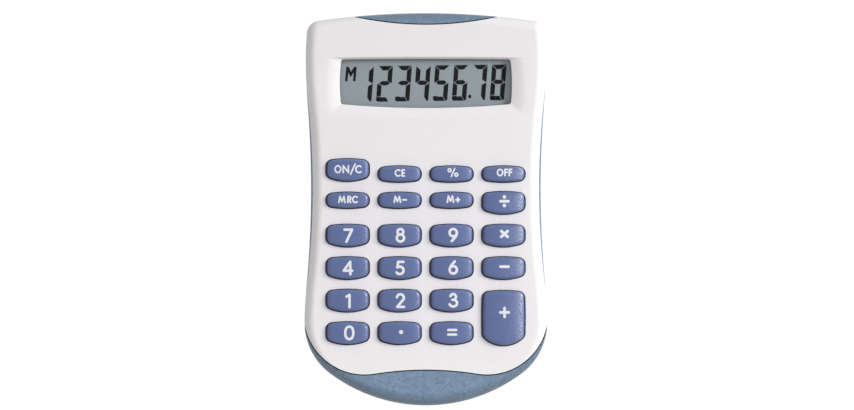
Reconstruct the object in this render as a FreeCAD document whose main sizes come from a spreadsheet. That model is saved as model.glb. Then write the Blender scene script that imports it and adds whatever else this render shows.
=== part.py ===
import FreeCAD, Part
import math
import os

import Sketcher

# A pocket calculator lying on its back.
# Millimetres. +X to the right, +Y towards the display end, +Z out of the keys.
# The origin is under the middle of the case, on the plane it rests on.

doc = FreeCAD.newDocument("calculator")
sheet = doc.addObject("Spreadsheet::Sheet", "Sizes")

DRIVING_SIZES = {
    # Case outline, seen from the front
    "case_length": 120.0,
    "case_upper_width": 73.5,
    "case_waist_width": 70.3,
    "case_lower_width": 74.3,
    "cover_waist_width": 69.2,
    "upper_widest_from_top": 14.8,
    "waist_from_bottom": 66.4,
    "lower_widest_from_bottom": 24.0,
    "top_arc_radius": 228.0,
    "bottom_arc_radius": 49.0,
    "upper_corner_radius": 4.0,
    "lower_corner_radius": 19.5,
    # Case depth, walls and edges
    "case_depth": 12.6,
    "parting_height": 6.5,
    "front_wall": 1.8,
    "rear_wall": 1.8,
    "front_edge_radius": 3.2,
    "end_edge_radius": 4.0,
    "back_edge_radius": 3.5,
    "end_step": 0.25,
    # Seam between the front cover and the ends of the rear cover
    "seam_gap": 0.35,
    "cover_lobe_spread": 18.7,
    "cover_lobe_from_bottom": 9.6,
    "cover_lower_rise": 1.5,
    "cover_corner_radius": 18.6,
    "cover_dip_from_top": 3.7,
    "cover_dip_radius": 100.0,
    # Display opening and the dish round it
    "window_width": 52.6,
    "window_height": 15.0,
    "window_from_top": 21.6,
    "window_top_radius": 2000.0,
    "window_bottom_radius": 281.0,
    "window_side_radius": 60.0,
    "window_corner_radius": 0.9,
    "dish_side_slope": 4.2,
    "dish_top_slope": 0.7,
    "dish_bottom_slope": 3.4,
    "dish_depth": 1.0,
    # Keys
    "key_width": 12.55,
    "key_big_height": 6.68,
    "key_small_height": 4.74,
    "key_top_radius": 36.0,
    "key_side_radius": 30.0,
    "key_tall_side_radius": 160.0,
    "key_big_bottom_radius": 15.5,
    "key_small_bottom_radius": 30.0,
    "key_tall_bottom_radius": 8.5,
    "key_corner_radius": 1.7,
    "key_rise": 1.7,
    "key_crown_radius": 42.0,
    "key_edge_radius": 1.0,
    "key_travel": 1.0,
    "key_wall": 1.1,
    "key_hollow_depth": 2.2,
    "flange_width": 0.8,
    "flange_thickness": 0.8,
    "plunger_diameter": 3.6,
    "hole_side_gap": 0.575,
    "hole_end_gap": 0.37,
    "hole_shift": 0.125,
    "hole_drop": 0.11,
    # Key field
    "column_gap": 3.29,
    "row_gap": 3.24,
    "memory_row_gap": 5.06,
    "function_row_gap": 3.25,
    "last_row_from_bottom": 22.3,
    "on_key_raise": 0.26,
    "divide_key_raise": 0.17,
    "plus_key_drop": 0.36,
    # Circuit board and rubber keypad
    "board_side_gap": 0.6,
    "board_thickness": 1.2,
    "board_corner_radius": 6.0,
    "board_border": 0.3,
    "board_above_window": 2.1,
    "contact_diameter": 4.4,
    "contact_thickness": 0.05,
    "dome_height": 3.2,
    "dome_base_diameter": 5.8,
    "dome_taper": 12.0,
    "dome_wall": 0.5,
    "dome_roof": 0.8,
    "nub_diameter": 2.6,
    "sheet_thickness": 0.7,
    "sheet_corner_radius": 5.0,
    "sheet_border": 0.5,
    # Display parts
    "window_plate_thickness": 0.6,
    "window_plate_overlap": 2.25,
    "adhesive_thickness": 0.15,
    "adhesive_set_back": 0.75,
    "polariser_thickness": 0.2,
    "polariser_margin": 0.55,
    "glass_thickness": 0.7,
    "glass_margin": 1.55,
    "glass_ledge": 2.4,
    "seal_thickness": 0.1,
    "seal_width": 0.9,
    "cushion_thickness": 1.1,
    "holder_wall": 0.8,
    "holder_gap": 0.1,
    "holder_lip": 0.9,
    "zebra_width": 1.6,
    "zebra_end_gap": 2.0,
    # Electrical parts under the board
    "blob_diameter": 11.0,
    "blob_height": 1.6,
    "chip_length": 2.0,
    "chip_width": 1.25,
    "chip_pitch": 4.0,
    "capacitor_height": 0.9,
    "resistor_height": 0.5,
    # Button cell, its contacts and the door
    "cell_diameter": 11.6,
    "cell_thickness": 3.05,
    "cell_rim_width": 1.05,
    "cell_lid_height": 0.45,
    "cell_from_top": 15.0,
    "cell_gap": 0.3,
    "cell_lift": 0.05,
    "well_wall": 1.0,
    "contact_strip": 0.2,
    "contact_strip_width": 4.0,
    "leaf_foot_length": 2.5,
    "leaf_foot_from_cell": 1.5,
    "leaf_tip_length": 2.0,
    "leaf_tip_share": 15 / 44,
    "blade_clear": 0.4,
    "blade_foot_length": 1.9,
    "blade_end_lift": 0.5,
    "notch_play": 0.5,
    "door_width": 22.0,
    "door_inset_from_top": 27.0,
    "door_step": 0.15,
    "door_thickness": 1.15,
    "door_gap": 0.12,
    "door_tongue_width": 0.8,
    "door_tongue_thickness": 0.6,
    "door_tongue_root": 1.0,
    "grip_groove_width": 0.7,
    "grip_groove_pitch": 1.6,
    "grip_groove_length": 12.0,
    "grip_groove_depth": 0.35,
    # Fasteners and posts
    "case_screw_diameter": 2.0,
    "case_screw_head_diameter": 3.8,
    "case_screw_head_height": 1.4,
    "case_boss_diameter": 5.0,
    "case_post_diameter": 6.0,
    "case_post_gap": 0.3,
    "case_screw_seat": 2.8,
    "upper_screw_spread": 29.5,
    "upper_screw_above_board": 0.5,
    "lower_screw_spread": 20.6,
    "lower_screw_below_board": 0.33,
    "board_screw_diameter": 1.6,
    "board_screw_head_diameter": 2.8,
    "board_screw_head_height": 1.0,
    "board_boss_diameter": 3.2,
    "screw_hole_gap": 0.05,
    "screw_pass_gap": 0.3,
    "screw_end_gap": 1.6,
    "recess_width": 0.5,
    "board_screw_side_gap": 0.2,
    "board_screw_below_head": 0.5,
    "board_screw_above_sheet": 2.69,
    "rest_post_diameter": 3.0,
    "rest_post_below_window": 6.0,
}

GRIP_GROOVES = 5

# Radius of the waist, as a share of what the waist and the tighter side arc add up to
WAIST_SHARE = 0.7

# Outlines from the rim of the dish to its floor, and how their depth grows inwards
DISH_STEPS = 4
DISH_GROWTH = 1.5

# How far the cut that crowns a key reaches past the key
CROWN_MARGIN = 1.0

# Cross recess of a screw, as shares of its head
RECESS_REACH = 0.3
RECESS_DEPTH = 0.55


class Size:
    """A number that remembers the sheet expression it came from."""

    def __init__(self, value, text):
        self.value = value
        self.text = text

    def combined(self, other, sign, value):
        return Size(value, f"({self.text} {sign} {as_size(other).text})")

    def __add__(self, other):
        return self.combined(other, "+", self.value + as_size(other).value)

    def __sub__(self, other):
        return self.combined(other, "-", self.value - as_size(other).value)

    def __mul__(self, other):
        return self.combined(other, "*", self.value * as_size(other).value)

    def __truediv__(self, other):
        return self.combined(other, "/", self.value / as_size(other).value)

    def __neg__(self):
        return self * -1

    def __radd__(self, other):
        return as_size(other) + self

    def __rsub__(self, other):
        return as_size(other) - self

    def __rmul__(self, other):
        return as_size(other) * self


def as_size(number):
    if isinstance(number, Size):
        return number
    return Size(float(number), repr(float(number)))


class Sheet:
    """The driving sizes, each read by its own name."""


size = Sheet()
for row, (alias, number) in enumerate(DRIVING_SIZES.items(), start=1):
    sheet.set(f"A{row}", str(number))
    sheet.setAlias(f"A{row}", alias)
doc.recompute()
for alias in DRIVING_SIZES:
    setattr(size, alias, Size(float(sheet.get(alias)), f"Sizes.{alias}"))


# Heights in the case, from the plane it rests on upwards
ceiling = size.case_depth - size.front_wall
flange_low = ceiling - size.flange_thickness
board_top = flange_low - size.dome_height
board_low = board_top - size.board_thickness
case_post_top = board_low - size.case_post_gap
screw_end = ceiling - size.screw_end_gap
key_crown = size.case_depth + size.key_rise

# A pressed key brings the nub under its dome down to the printed contact
dome_depth = size.dome_height - size.dome_roof
nub_length = dome_depth - size.contact_thickness - size.key_travel

reflector_low = board_top + size.cushion_thickness
rear_glass_low = reflector_low + size.polariser_thickness
seal_low = rear_glass_low + size.glass_thickness
front_glass_low = seal_low + size.seal_thickness
polariser_low = front_glass_low + size.glass_thickness
polariser_top = polariser_low + size.polariser_thickness
adhesive_low = ceiling - size.adhesive_thickness
window_low = adhesive_low - size.window_plate_thickness

door_top = size.door_step + size.door_thickness
recess_top = door_top + size.door_gap
cell_low = recess_top + size.cell_lift
cell_top = cell_low + size.cell_thickness

# Places along the case
top_end = size.case_length / 2
bottom_end = -top_end
last_row = bottom_end + size.last_row_from_bottom
column_pitch = size.key_width + size.column_gap
row_pitch = size.key_big_height + size.row_gap
digit_row = [last_row + row_pitch * steps for steps in (3, 2, 1, 0)]
mixed_height = (size.key_big_height + size.key_small_height) / 2
memory_row = digit_row[0] + mixed_height + size.memory_row_gap
function_row = memory_row + size.key_small_height + size.function_row_gap
height_difference = size.key_big_height - size.key_small_height
on_row = function_row + height_difference / 2 + size.on_key_raise
divide_row = memory_row - height_difference / 2 + size.divide_key_raise
plus_row = (digit_row[2] + digit_row[3]) / 2 - size.plus_key_drop
key_tall_height = row_pitch + size.key_big_height
column = [column_pitch * steps for steps in (-1.5, -0.5, 0.5, 1.5)]

window_middle = top_end - size.window_from_top
window_left = -size.window_width / 2
window_base = window_middle - size.window_height / 2
window_head = window_middle + size.window_height / 2
cell_middle = top_end - size.cell_from_top

# Each kind of key: height, radius of its lower edge, radius of its sides
BIG = (size.key_big_height, size.key_big_bottom_radius, size.key_side_radius)
SMALL = (size.key_small_height, size.key_small_bottom_radius, size.key_side_radius)
TALL = (key_tall_height, size.key_tall_bottom_radius, size.key_tall_side_radius)

KEYS = {
    "key_on_clear": (column[0], on_row, BIG),
    "key_clear_entry": (column[1], function_row, SMALL),
    "key_percent": (column[2], function_row, SMALL),
    "key_off": (column[3], function_row, SMALL),
    "key_memory_recall": (column[0], memory_row, SMALL),
    "key_memory_minus": (column[1], memory_row, SMALL),
    "key_memory_plus": (column[2], memory_row, SMALL),
    "key_divide": (column[3], divide_row, BIG),
    "key_7": (column[0], digit_row[0], BIG),
    "key_8": (column[1], digit_row[0], BIG),
    "key_9": (column[2], digit_row[0], BIG),
    "key_multiply": (column[3], digit_row[0], BIG),
    "key_4": (column[0], digit_row[1], BIG),
    "key_5": (column[1], digit_row[1], BIG),
    "key_6": (column[2], digit_row[1], BIG),
    "key_minus": (column[3], digit_row[1], BIG),
    "key_1": (column[0], digit_row[2], BIG),
    "key_2": (column[1], digit_row[2], BIG),
    "key_3": (column[2], digit_row[2], BIG),
    "key_plus": (column[3], plus_row, TALL),
    "key_0": (column[0], digit_row[3], BIG),
    "key_decimal_point": (column[1], digit_row[3], BIG),
    "key_equals": (column[2], digit_row[3], BIG),
}

KEY_ROWS = [list(KEYS)[start:start + len(column)] for start in range(0, len(KEYS), len(column))]

# The frame round the glass of the display
holder_inner_half = size.window_width / 2 + size.glass_margin + size.holder_gap
holder_outer_half = holder_inner_half + size.holder_wall

# The rubber keypad reaches past the flanges of the outer keys, the board past the keypad
sheet_half_width = column[3] + size.key_width / 2 + size.flange_width + size.sheet_border
sheet_reach = size.key_big_height / 2 + size.flange_width + size.sheet_border
sheet_base = last_row - sheet_reach
sheet_head = on_row + sheet_reach
board_half_width = size.cover_waist_width / 2 - size.front_wall - size.board_side_gap
board_base = sheet_base - size.board_border
board_head = window_head + size.board_above_window

# Screws through the rear cover into the front cover, just past the ends of the board
upper_screw_row = board_head + size.upper_screw_above_board + size.case_boss_diameter / 2
lower_screw_row = board_base - size.lower_screw_below_board - size.case_boss_diameter / 2
CASE_SCREWS = [
    (size.upper_screw_spread, upper_screw_row),
    (-size.upper_screw_spread, upper_screw_row),
    (size.lower_screw_spread, lower_screw_row),
    (-size.lower_screw_spread, lower_screw_row),
]

# Screws through the circuit board into the front cover: some stand between the keys,
# the rest beside and below the display
between_key_rows = (digit_row[0] + digit_row[1]) / 2
between_low_rows = (digit_row[2] + digit_row[3]) / 2
between_small_rows = (function_row + memory_row) / 2
between_columns = [spot + column_pitch / 2 for spot in column[:3]]
display_side = holder_outer_half + size.board_boss_diameter / 2 + size.board_screw_side_gap
display_screw_high = window_head - size.board_screw_below_head
display_screw_low = sheet_head + size.board_boss_diameter / 2 + size.board_screw_above_sheet
SHEET_HOLES = [
    (between_columns[0], between_low_rows),
    (between_columns[1], between_low_rows),
    (between_columns[0], between_key_rows),
    (between_columns[2], between_key_rows),
    (between_columns[1], between_small_rows),
]
DISPLAY_HOLES = [
    (display_side, display_screw_high),
    (-display_side, display_screw_high),
    (display_side, display_screw_low),
    (-display_side, display_screw_low),
]
BOARD_SCREWS = SHEET_HOLES + DISPLAY_HOLES

# Posts of the rear cover that hold the board up from below
REST_POSTS = [
    (column[0], between_key_rows),
    (column[3], between_key_rows),
    (between_columns[1], between_key_rows),
    (column[0], window_base - size.rest_post_below_window),
    (column[3], window_base - size.rest_post_below_window),
]


def bind(target, name, amount):
    target.setExpression(name, as_size(amount).text)


def place(target, x, y, z):
    for axis, amount in zip("xyz", (x, y, z)):
        bind(target, f"Placement.Base.{axis}", amount)


class Profile:
    """A sketch on one of its body's own origin planes, raised to a level."""

    def __init__(self, body, name, level=0.0, plane="XY_Plane"):
        self.sketch = body.newObject("Sketcher::SketchObject", name)
        support = [item for item in body.Origin.OriginFeatures if item.Role == plane]
        self.sketch.AttachmentSupport = [(support[0], "")]
        self.sketch.MapMode = "FlatFace"
        bind(self.sketch, "AttachmentOffset.Base.z", level)

    def constrain(self, rules):
        """Each rule is a constraint's arguments, with a Size last where it is a dimension."""
        constraints = []
        for rule in rules:
            numbers = [item.value if isinstance(item, Size) else item for item in rule]
            constraints.append(Sketcher.Constraint(*numbers))
        first = len(self.sketch.Constraints)
        self.sketch.addConstraint(constraints)
        for index, rule in enumerate(rules, start=first):
            if isinstance(rule[-1], Size):
                self.sketch.setExpression(f"Constraints[{index}]", rule[-1].text)

    def circle(self, x, y, diameter):
        x, y, diameter = as_size(x), as_size(y), as_size(diameter)
        middle = FreeCAD.Vector(x.value, y.value, 0)
        ring = Part.Circle(middle, FreeCAD.Vector(0, 0, 1), diameter.value / 2)
        index = self.sketch.addGeometry(ring, False)
        self.constrain([
            ("Diameter", index, diameter),
            ("DistanceX", -1, 1, index, 3, x),
            ("DistanceY", -1, 1, index, 3, y),
        ])

    def polygon(self, corners):
        corners = [(as_size(x), as_size(y)) for x, y in corners]
        points = [FreeCAD.Vector(x.value, y.value, 0) for x, y in corners]
        count = len(points)
        sides = [Part.LineSegment(points[i], points[(i + 1) % count]) for i in range(count)]
        first = self.sketch.addGeometry(sides, False)[0]
        rules = []
        for i, (x, y) in enumerate(corners):
            rules.append(("Coincident", first + i, 2, first + (i + 1) % count, 1))
            rules.append(("DistanceX", -1, 1, first + i, 1, x))
            rules.append(("DistanceY", -1, 1, first + i, 1, y))
        self.constrain(rules)

    def rectangle(self, left, right, low, high):
        self.polygon([(left, low), (right, low), (right, high), (left, high)])

    def bowed(self, x, y, width, height, top_radius, side_radius, bottom_radius, corner_radius):
        """A rectangle whose four sides bow outwards and whose corners are round."""
        x, y = as_size(x), as_size(y)
        mains = [
            (x, y + height / 2 - top_radius, top_radius),
            (x + width / 2 - side_radius, y, side_radius),
            (x, y - height / 2 + bottom_radius, bottom_radius),
            (x - width / 2 + side_radius, y, side_radius),
        ]
        left, right = (x - width / 2).value, (x + width / 2).value
        low, high = (y - height / 2).value, (y + height / 2).value
        corners = [(right, high), (right, low), (left, low), (left, high)]
        circles = [tuple(item.value for item in main) for main in mains]
        arcs = rounded_chain(circles, corner_radius.value, corners)
        first = self.sketch.addGeometry(arcs, False)[0]
        count = len(arcs)
        rules = []
        for i in range(count):
            rules.append(("Tangent", first + i, 1, first + (i + 1) % count, 2))
        for i, (middle_x, middle_y, radius) in enumerate(mains):
            rules.append(("Radius", first + 2 * i, radius))
            rules.append(("DistanceX", -1, 1, first + 2 * i, 3, middle_x))
            rules.append(("DistanceY", -1, 1, first + 2 * i, 3, middle_y))
            rules.append(("Radius", first + 2 * i + 1, corner_radius))
        self.constrain(rules)


def point_beyond(centre, through, radius):
    """The point at the radius from the centre, in the direction of the other point."""
    gap = math.dist(centre, through)
    share = radius / gap
    return (
        centre[0] + (through[0] - centre[0]) * share,
        centre[1] + (through[1] - centre[1]) * share,
    )


def corner_centre(first, second, corner_radius, corner):
    """Centre of the arc that rounds the crossing of two circles next to a corner."""
    x1, y1, r1 = first
    x2, y2, r2 = second
    gap = math.dist((x1, y1), (x2, y2))
    near, far = r1 - corner_radius, r2 - corner_radius
    along = (near ** 2 - far ** 2 + gap ** 2) / (2 * gap)
    across = math.sqrt(near ** 2 - along ** 2)
    ux, uy = (x2 - x1) / gap, (y2 - y1) / gap
    choices = [
        (x1 + along * ux - turn * across * uy, y1 + along * uy + turn * across * ux)
        for turn in (1, -1)
    ]
    return min(choices, key=lambda spot: math.dist(spot, corner))


def arc_between(centre, radius, start, finish):
    """The arc that runs clockwise from start to finish, stored anticlockwise."""
    first = math.atan2(finish[1] - centre[1], finish[0] - centre[0])
    last = math.atan2(start[1] - centre[1], start[0] - centre[0])
    middle = FreeCAD.Vector(centre[0], centre[1], 0)
    ring = Part.Circle(middle, FreeCAD.Vector(0, 0, 1), radius)
    return Part.ArcOfCircle(ring, first, last)


def rounded_chain(circles, corner_radius, corners):
    """Arcs of the circles, in clockwise order, joined by an arc next to each corner."""
    count = len(circles)
    centres = []
    for i in range(count):
        following = circles[(i + 1) % count]
        centres.append(corner_centre(circles[i], following, corner_radius, corners[i]))
    arcs = []
    for i in range(count):
        x, y, radius = circles[i]
        start = point_beyond((x, y), centres[i - 1], radius)
        finish = point_beyond((x, y), centres[i], radius)
        arcs.append(arc_between((x, y), radius, start, finish))
        next_x, next_y, next_radius = circles[(i + 1) % count]
        corner_end = point_beyond((next_x, next_y), centres[i], next_radius)
        arcs.append(arc_between(centres[i], corner_radius, finish, corner_end))
    return arcs


def new_body(label, base=None):
    body = doc.addObject("PartDesign::Body", label)
    body.Label = label
    if base is not None:
        body.BaseFeature = base
    return body


def pad(body, name, profile, length, down=False, taper=None):
    feature = body.newObject("PartDesign::Pad", name)
    feature.Profile = profile.sketch
    feature.Reversed = down
    bind(feature, "Length", length)
    if taper is not None:
        bind(feature, "TaperAngle", taper)
    doc.recompute()
    return feature


def pocket(body, name, profile, length=None, up=False, middle=False, taper=None):
    """Cuts downwards from the profile, or upwards. With no length it cuts through."""
    before = body.Shape.Volume
    feature = body.newObject("PartDesign::Pocket", name)
    feature.Profile = profile.sketch
    feature.Reversed = up
    feature.Midplane = middle
    if length is None:
        feature.Type = "ThroughAll"
    else:
        bind(feature, "Length", length)
    if taper is not None:
        bind(feature, "TaperAngle", taper)
    doc.recompute()
    if body.Shape.Volume >= before:
        raise RuntimeError(f"{body.Label}: {name} cuts nothing")
    return feature


def box(label, left, right, low_y, high_y, low, high):
    plate = doc.addObject("Part::Box", label)
    plate.Label = label
    bind(plate, "Length", right - left)
    bind(plate, "Width", high_y - low_y)
    bind(plate, "Height", high - low)
    place(plate, left, low_y, low)
    return plate


def cylinder(label, x, y, low, diameter, height):
    rod = doc.addObject("Part::Cylinder", label)
    rod.Label = label
    bind(rod, "Radius", diameter / 2)
    bind(rod, "Height", height)
    place(rod, x, y, low)
    return rod


def cut(label, base, tool):
    result = doc.addObject("Part::Cut", label)
    result.Label = label
    result.Base = base
    result.Tool = tool
    return result


def compound(label, pieces):
    group = doc.addObject("Part::Compound", label)
    group.Label = label
    group.Links = pieces
    return group


# Case outline


def side_radii(widest, waist, distance):
    """Sum of the radii of two arcs that meet smoothly between a widest and a waist place."""
    swing = widest - waist
    return (distance ** 2 + swing ** 2) / (2 * swing)


def case_outline(waist_width):
    """Closed wire round the case in plan, narrower or wider at its waist."""
    top = top_end.value
    half_upper = size.case_upper_width.value / 2
    half_waist = waist_width.value / 2
    half_lower = size.case_lower_width.value / 2
    upper_y = top - size.upper_widest_from_top.value
    waist_y = -top + size.waist_from_bottom.value
    lower_y = -top + size.lower_widest_from_bottom.value
    upper_sum = side_radii(half_upper, half_waist, upper_y - waist_y)
    lower_sum = side_radii(half_lower, half_waist, waist_y - lower_y)
    waist_radius = min(upper_sum, lower_sum) * WAIST_SHARE
    upper = (half_upper - upper_sum + waist_radius, upper_y, upper_sum - waist_radius)
    waist = (half_waist + waist_radius, waist_y, waist_radius)
    lower = (half_lower - lower_sum + waist_radius, lower_y, lower_sum - waist_radius)
    head = (0.0, top - size.top_arc_radius.value, size.top_arc_radius.value)
    foot = (0.0, -top + size.bottom_arc_radius.value, size.bottom_arc_radius.value)
    shoulder_radius = size.upper_corner_radius.value
    hip_radius = size.lower_corner_radius.value
    shoulder = corner_centre(head, upper, shoulder_radius, (half_upper, upper_y))
    hip = corner_centre(lower, foot, hip_radius, (half_lower, lower_y))
    joints = [
        point_beyond(head[:2], shoulder, head[2]),
        point_beyond(upper[:2], shoulder, upper[2]),
        point_beyond(waist[:2], upper[:2], waist_radius),
        point_beyond(waist[:2], lower[:2], waist_radius),
        point_beyond(lower[:2], hip, lower[2]),
        point_beyond(foot[:2], hip, foot[2]),
    ]
    side_circles = [(*shoulder, shoulder_radius), upper, waist, lower, (*hip, hip_radius)]
    edges = [arc_through(mirrored(joints[0]), (0.0, top), joints[0])]
    for (x, y, radius), start, finish in zip(side_circles, joints, joints[1:]):
        middle = point_beyond((x, y), halfway(start, finish), radius)
        edges.append(arc_through(start, middle, finish))
        edges.append(arc_through(mirrored(start), mirrored(middle), mirrored(finish)))
    edges.append(arc_through(joints[-1], (0.0, -top), mirrored(joints[-1])))
    return Part.Wire(Part.__sortEdges__(edges))


def halfway(start, finish):
    return ((start[0] + finish[0]) / 2, (start[1] + finish[1]) / 2)


def mirrored(point):
    return (-point[0], point[1])


def vector(point, level=0.0):
    return FreeCAD.Vector(point[0], point[1], level)


def arc_through(start, middle, finish):
    return Part.Arc(vector(start), vector(middle), vector(finish)).toShape()


def line(start, finish):
    return Part.LineSegment(vector(start), vector(finish)).toShape()


def cover_region(grow):
    """Face that holds the front cover in plan, wide at the sides, grown by a gap at its ends."""
    top = top_end.value
    radius = size.cover_corner_radius.value + grow
    lobe_x = size.cover_lobe_spread.value
    lobe_y = -top + size.cover_lobe_from_bottom.value + size.cover_corner_radius.value
    rise = size.cover_lower_rise.value
    radii_sum = (lobe_x ** 2 + rise ** 2) / (2 * rise)
    rise_radius = radii_sum - size.cover_corner_radius.value - grow
    crest = lobe_y - size.cover_corner_radius.value + rise
    rise_centre = (0.0, crest - rise_radius - grow)
    lobe = (lobe_x, lobe_y)
    joint = point_beyond(rise_centre, lobe, rise_radius)
    low = point_beyond(lobe, (lobe_x + radius, lobe_y - 2 * radius), radius)
    side = (lobe_x + radius, lobe_y)
    wide = size.case_lower_width.value
    dip_radius = size.cover_dip_radius.value - grow
    dip_centre = top - size.cover_dip_from_top.value + size.cover_dip_radius.value
    dip_end = (wide, dip_centre - math.sqrt(dip_radius ** 2 - wide ** 2))
    dip_middle = (0.0, dip_centre - dip_radius)
    edges = [
        arc_through(mirrored(joint), (0.0, crest - grow), joint),
        arc_through(joint, low, side),
        line(side, (wide, lobe_y)),
        line((wide, lobe_y), dip_end),
        arc_through(dip_end, dip_middle, mirrored(dip_end)),
        line(mirrored(dip_end), (-wide, lobe_y)),
        line((-wide, lobe_y), mirrored(side)),
        arc_through(mirrored(side), mirrored(low), mirrored(joint)),
    ]
    return Part.Face(Part.Wire(Part.__sortEdges__(edges)))


def raised(face, low, high):
    solid = face.extrude(FreeCAD.Vector(0, 0, high - low))
    solid.translate(FreeCAD.Vector(0, 0, low))
    return solid


def edges_at_height(shape, height):
    return [
        edge for edge in shape.Edges
        if abs(edge.BoundBox.ZMin - height) < 1e-6 and abs(edge.BoundBox.ZMax - height) < 1e-6
    ]


def rounded_block(outline, low, high, top_radius, bottom_radius):
    """The outline raised to a block, its upper and lower edges rounded where a radius is given."""
    block = raised(Part.Face(outline), low, high)
    if top_radius:
        block = block.makeFillet(top_radius, edges_at_height(block, high))
    if bottom_radius:
        block = block.makeFillet(bottom_radius, edges_at_height(block, low))
    return block


def inner_face(outline_face, wall):
    """The face shrunk by a wall all round."""
    return outline_face.makeOffset2D(-wall, 2)


def form(label, shape):
    """A moulded form that the features of a body start from."""
    feature = doc.addObject("Part::Feature", label)
    feature.Shape = shape
    return feature


def rear_form():
    """Rear cover: a tray whose two ends rise to the front face beyond the front cover."""
    top = size.case_depth.value - size.end_step.value
    parting = size.parting_height.value
    wall = size.rear_wall.value
    outline = case_outline(size.case_waist_width)
    block = rounded_block(
        outline, 0.0, top, size.end_edge_radius.value, size.back_edge_radius.value
    )
    above = raised(cover_region(size.seam_gap.value), parting, size.case_depth.value)
    hollow = raised(inner_face(Part.Face(outline), wall), wall, top - wall)
    return block.cut(above).cut(hollow)


def front_form():
    """Front cover: a shallow lid with a soft edge, cut to its curved ends."""
    top = size.case_depth.value
    parting = size.parting_height.value
    outline = case_outline(size.cover_waist_width)
    block = rounded_block(outline, parting, top, size.front_edge_radius.value, 0.0)
    region = cover_region(0.0)
    lid = block.common(raised(region, parting, top))
    plan = Part.Face(outline).common(region).Faces[0]
    hollow = raised(inner_face(plan, size.front_wall.value), parting, ceiling.value)
    return lid.cut(hollow)


def door_form():
    """Battery door: a strip of the case's back that runs out through the display end."""
    outline = case_outline(size.case_waist_width)
    step = size.door_step.value
    back_radius = size.back_edge_radius.value
    block = rounded_block(outline, step, step + 3 * back_radius, 0.0, back_radius)
    half = size.door_width.value / 2
    start = (top_end - size.door_inset_from_top).value
    strip = Part.makeBox(
        2 * half, size.case_length.value, size.door_thickness.value,
        FreeCAD.Vector(-half, start, step),
    )
    return block.common(strip)


# Covers


def front_cover():
    body = new_body("front_cover", form("front_cover_form", front_form()))
    doc.recompute()

    before = body.Shape.Volume
    steps = [dish_outline(body, step) for step in range(DISH_STEPS)]
    doc.recompute()
    dish = body.newObject("PartDesign::SubtractiveLoft", "dish")
    dish.Profile = steps[0].sketch
    dish.Sections = [step.sketch for step in steps[1:]]
    doc.recompute()
    if body.Shape.Volume >= before:
        raise RuntimeError(f"{body.Label}: the dish cuts nothing")
    window = Profile(body, "window_outline", size.case_depth)
    window.bowed(
        0, window_middle, size.window_width, size.window_height,
        size.window_top_radius, size.window_side_radius, size.window_bottom_radius,
        size.window_corner_radius,
    )
    pocket(body, "window_opening", window)

    for number, row in enumerate(KEY_ROWS, start=1):
        openings = Profile(body, f"key_row_{number}_outlines", size.case_depth)
        for name in row:
            x, y, (height, bottom_radius, side_radius) = KEYS[name]
            openings.bowed(
                x - size.hole_shift, y - size.hole_drop,
                size.key_width + 2 * size.hole_side_gap, height + 2 * size.hole_end_gap,
                size.key_top_radius + size.hole_end_gap, side_radius + size.hole_side_gap,
                bottom_radius + size.hole_end_gap, size.key_corner_radius + size.hole_side_gap,
            )
        pocket(body, f"key_row_{number}_openings", openings)

    case_bosses = Profile(body, "case_boss_circles", ceiling)
    for x, y in CASE_SCREWS:
        case_bosses.circle(x, y, size.case_boss_diameter)
    pad(body, "case_bosses", case_bosses, ceiling - case_post_top, down=True)
    board_bosses = Profile(body, "board_boss_circles", ceiling)
    for x, y in BOARD_SCREWS:
        board_bosses.circle(x, y, size.board_boss_diameter)
    pad(body, "board_bosses", board_bosses, ceiling - board_top, down=True)

    case_holes = Profile(body, "case_pilot_circles", case_post_top)
    for x, y in CASE_SCREWS:
        case_holes.circle(x, y, size.case_screw_diameter + size.screw_hole_gap)
    pocket(body, "case_pilot_holes", case_holes, ceiling - case_post_top, up=True)
    board_holes = Profile(body, "board_pilot_circles", board_top)
    for x, y in BOARD_SCREWS:
        board_holes.circle(x, y, size.board_screw_diameter + size.screw_hole_gap)
    pocket(body, "board_pilot_holes", board_holes, ceiling - board_top, up=True)
    return body


def dish_outline(body, step):
    """One outline of the dish: its sides leave the front face flat, and steepen inwards."""
    inward = step / (DISH_STEPS - 1)
    outward = 1 - inward
    low = window_base - size.dish_bottom_slope * outward
    high = window_head + size.dish_top_slope * outward
    profile = Profile(
        body, f"dish_outline_{step + 1}",
        size.case_depth - size.dish_depth * inward ** DISH_GROWTH,
    )
    profile.bowed(
        0, (low + high) / 2, size.window_width + size.dish_side_slope * (2 * outward),
        high - low, size.window_top_radius, size.window_side_radius,
        size.window_bottom_radius, size.window_corner_radius,
    )
    return profile


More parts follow.
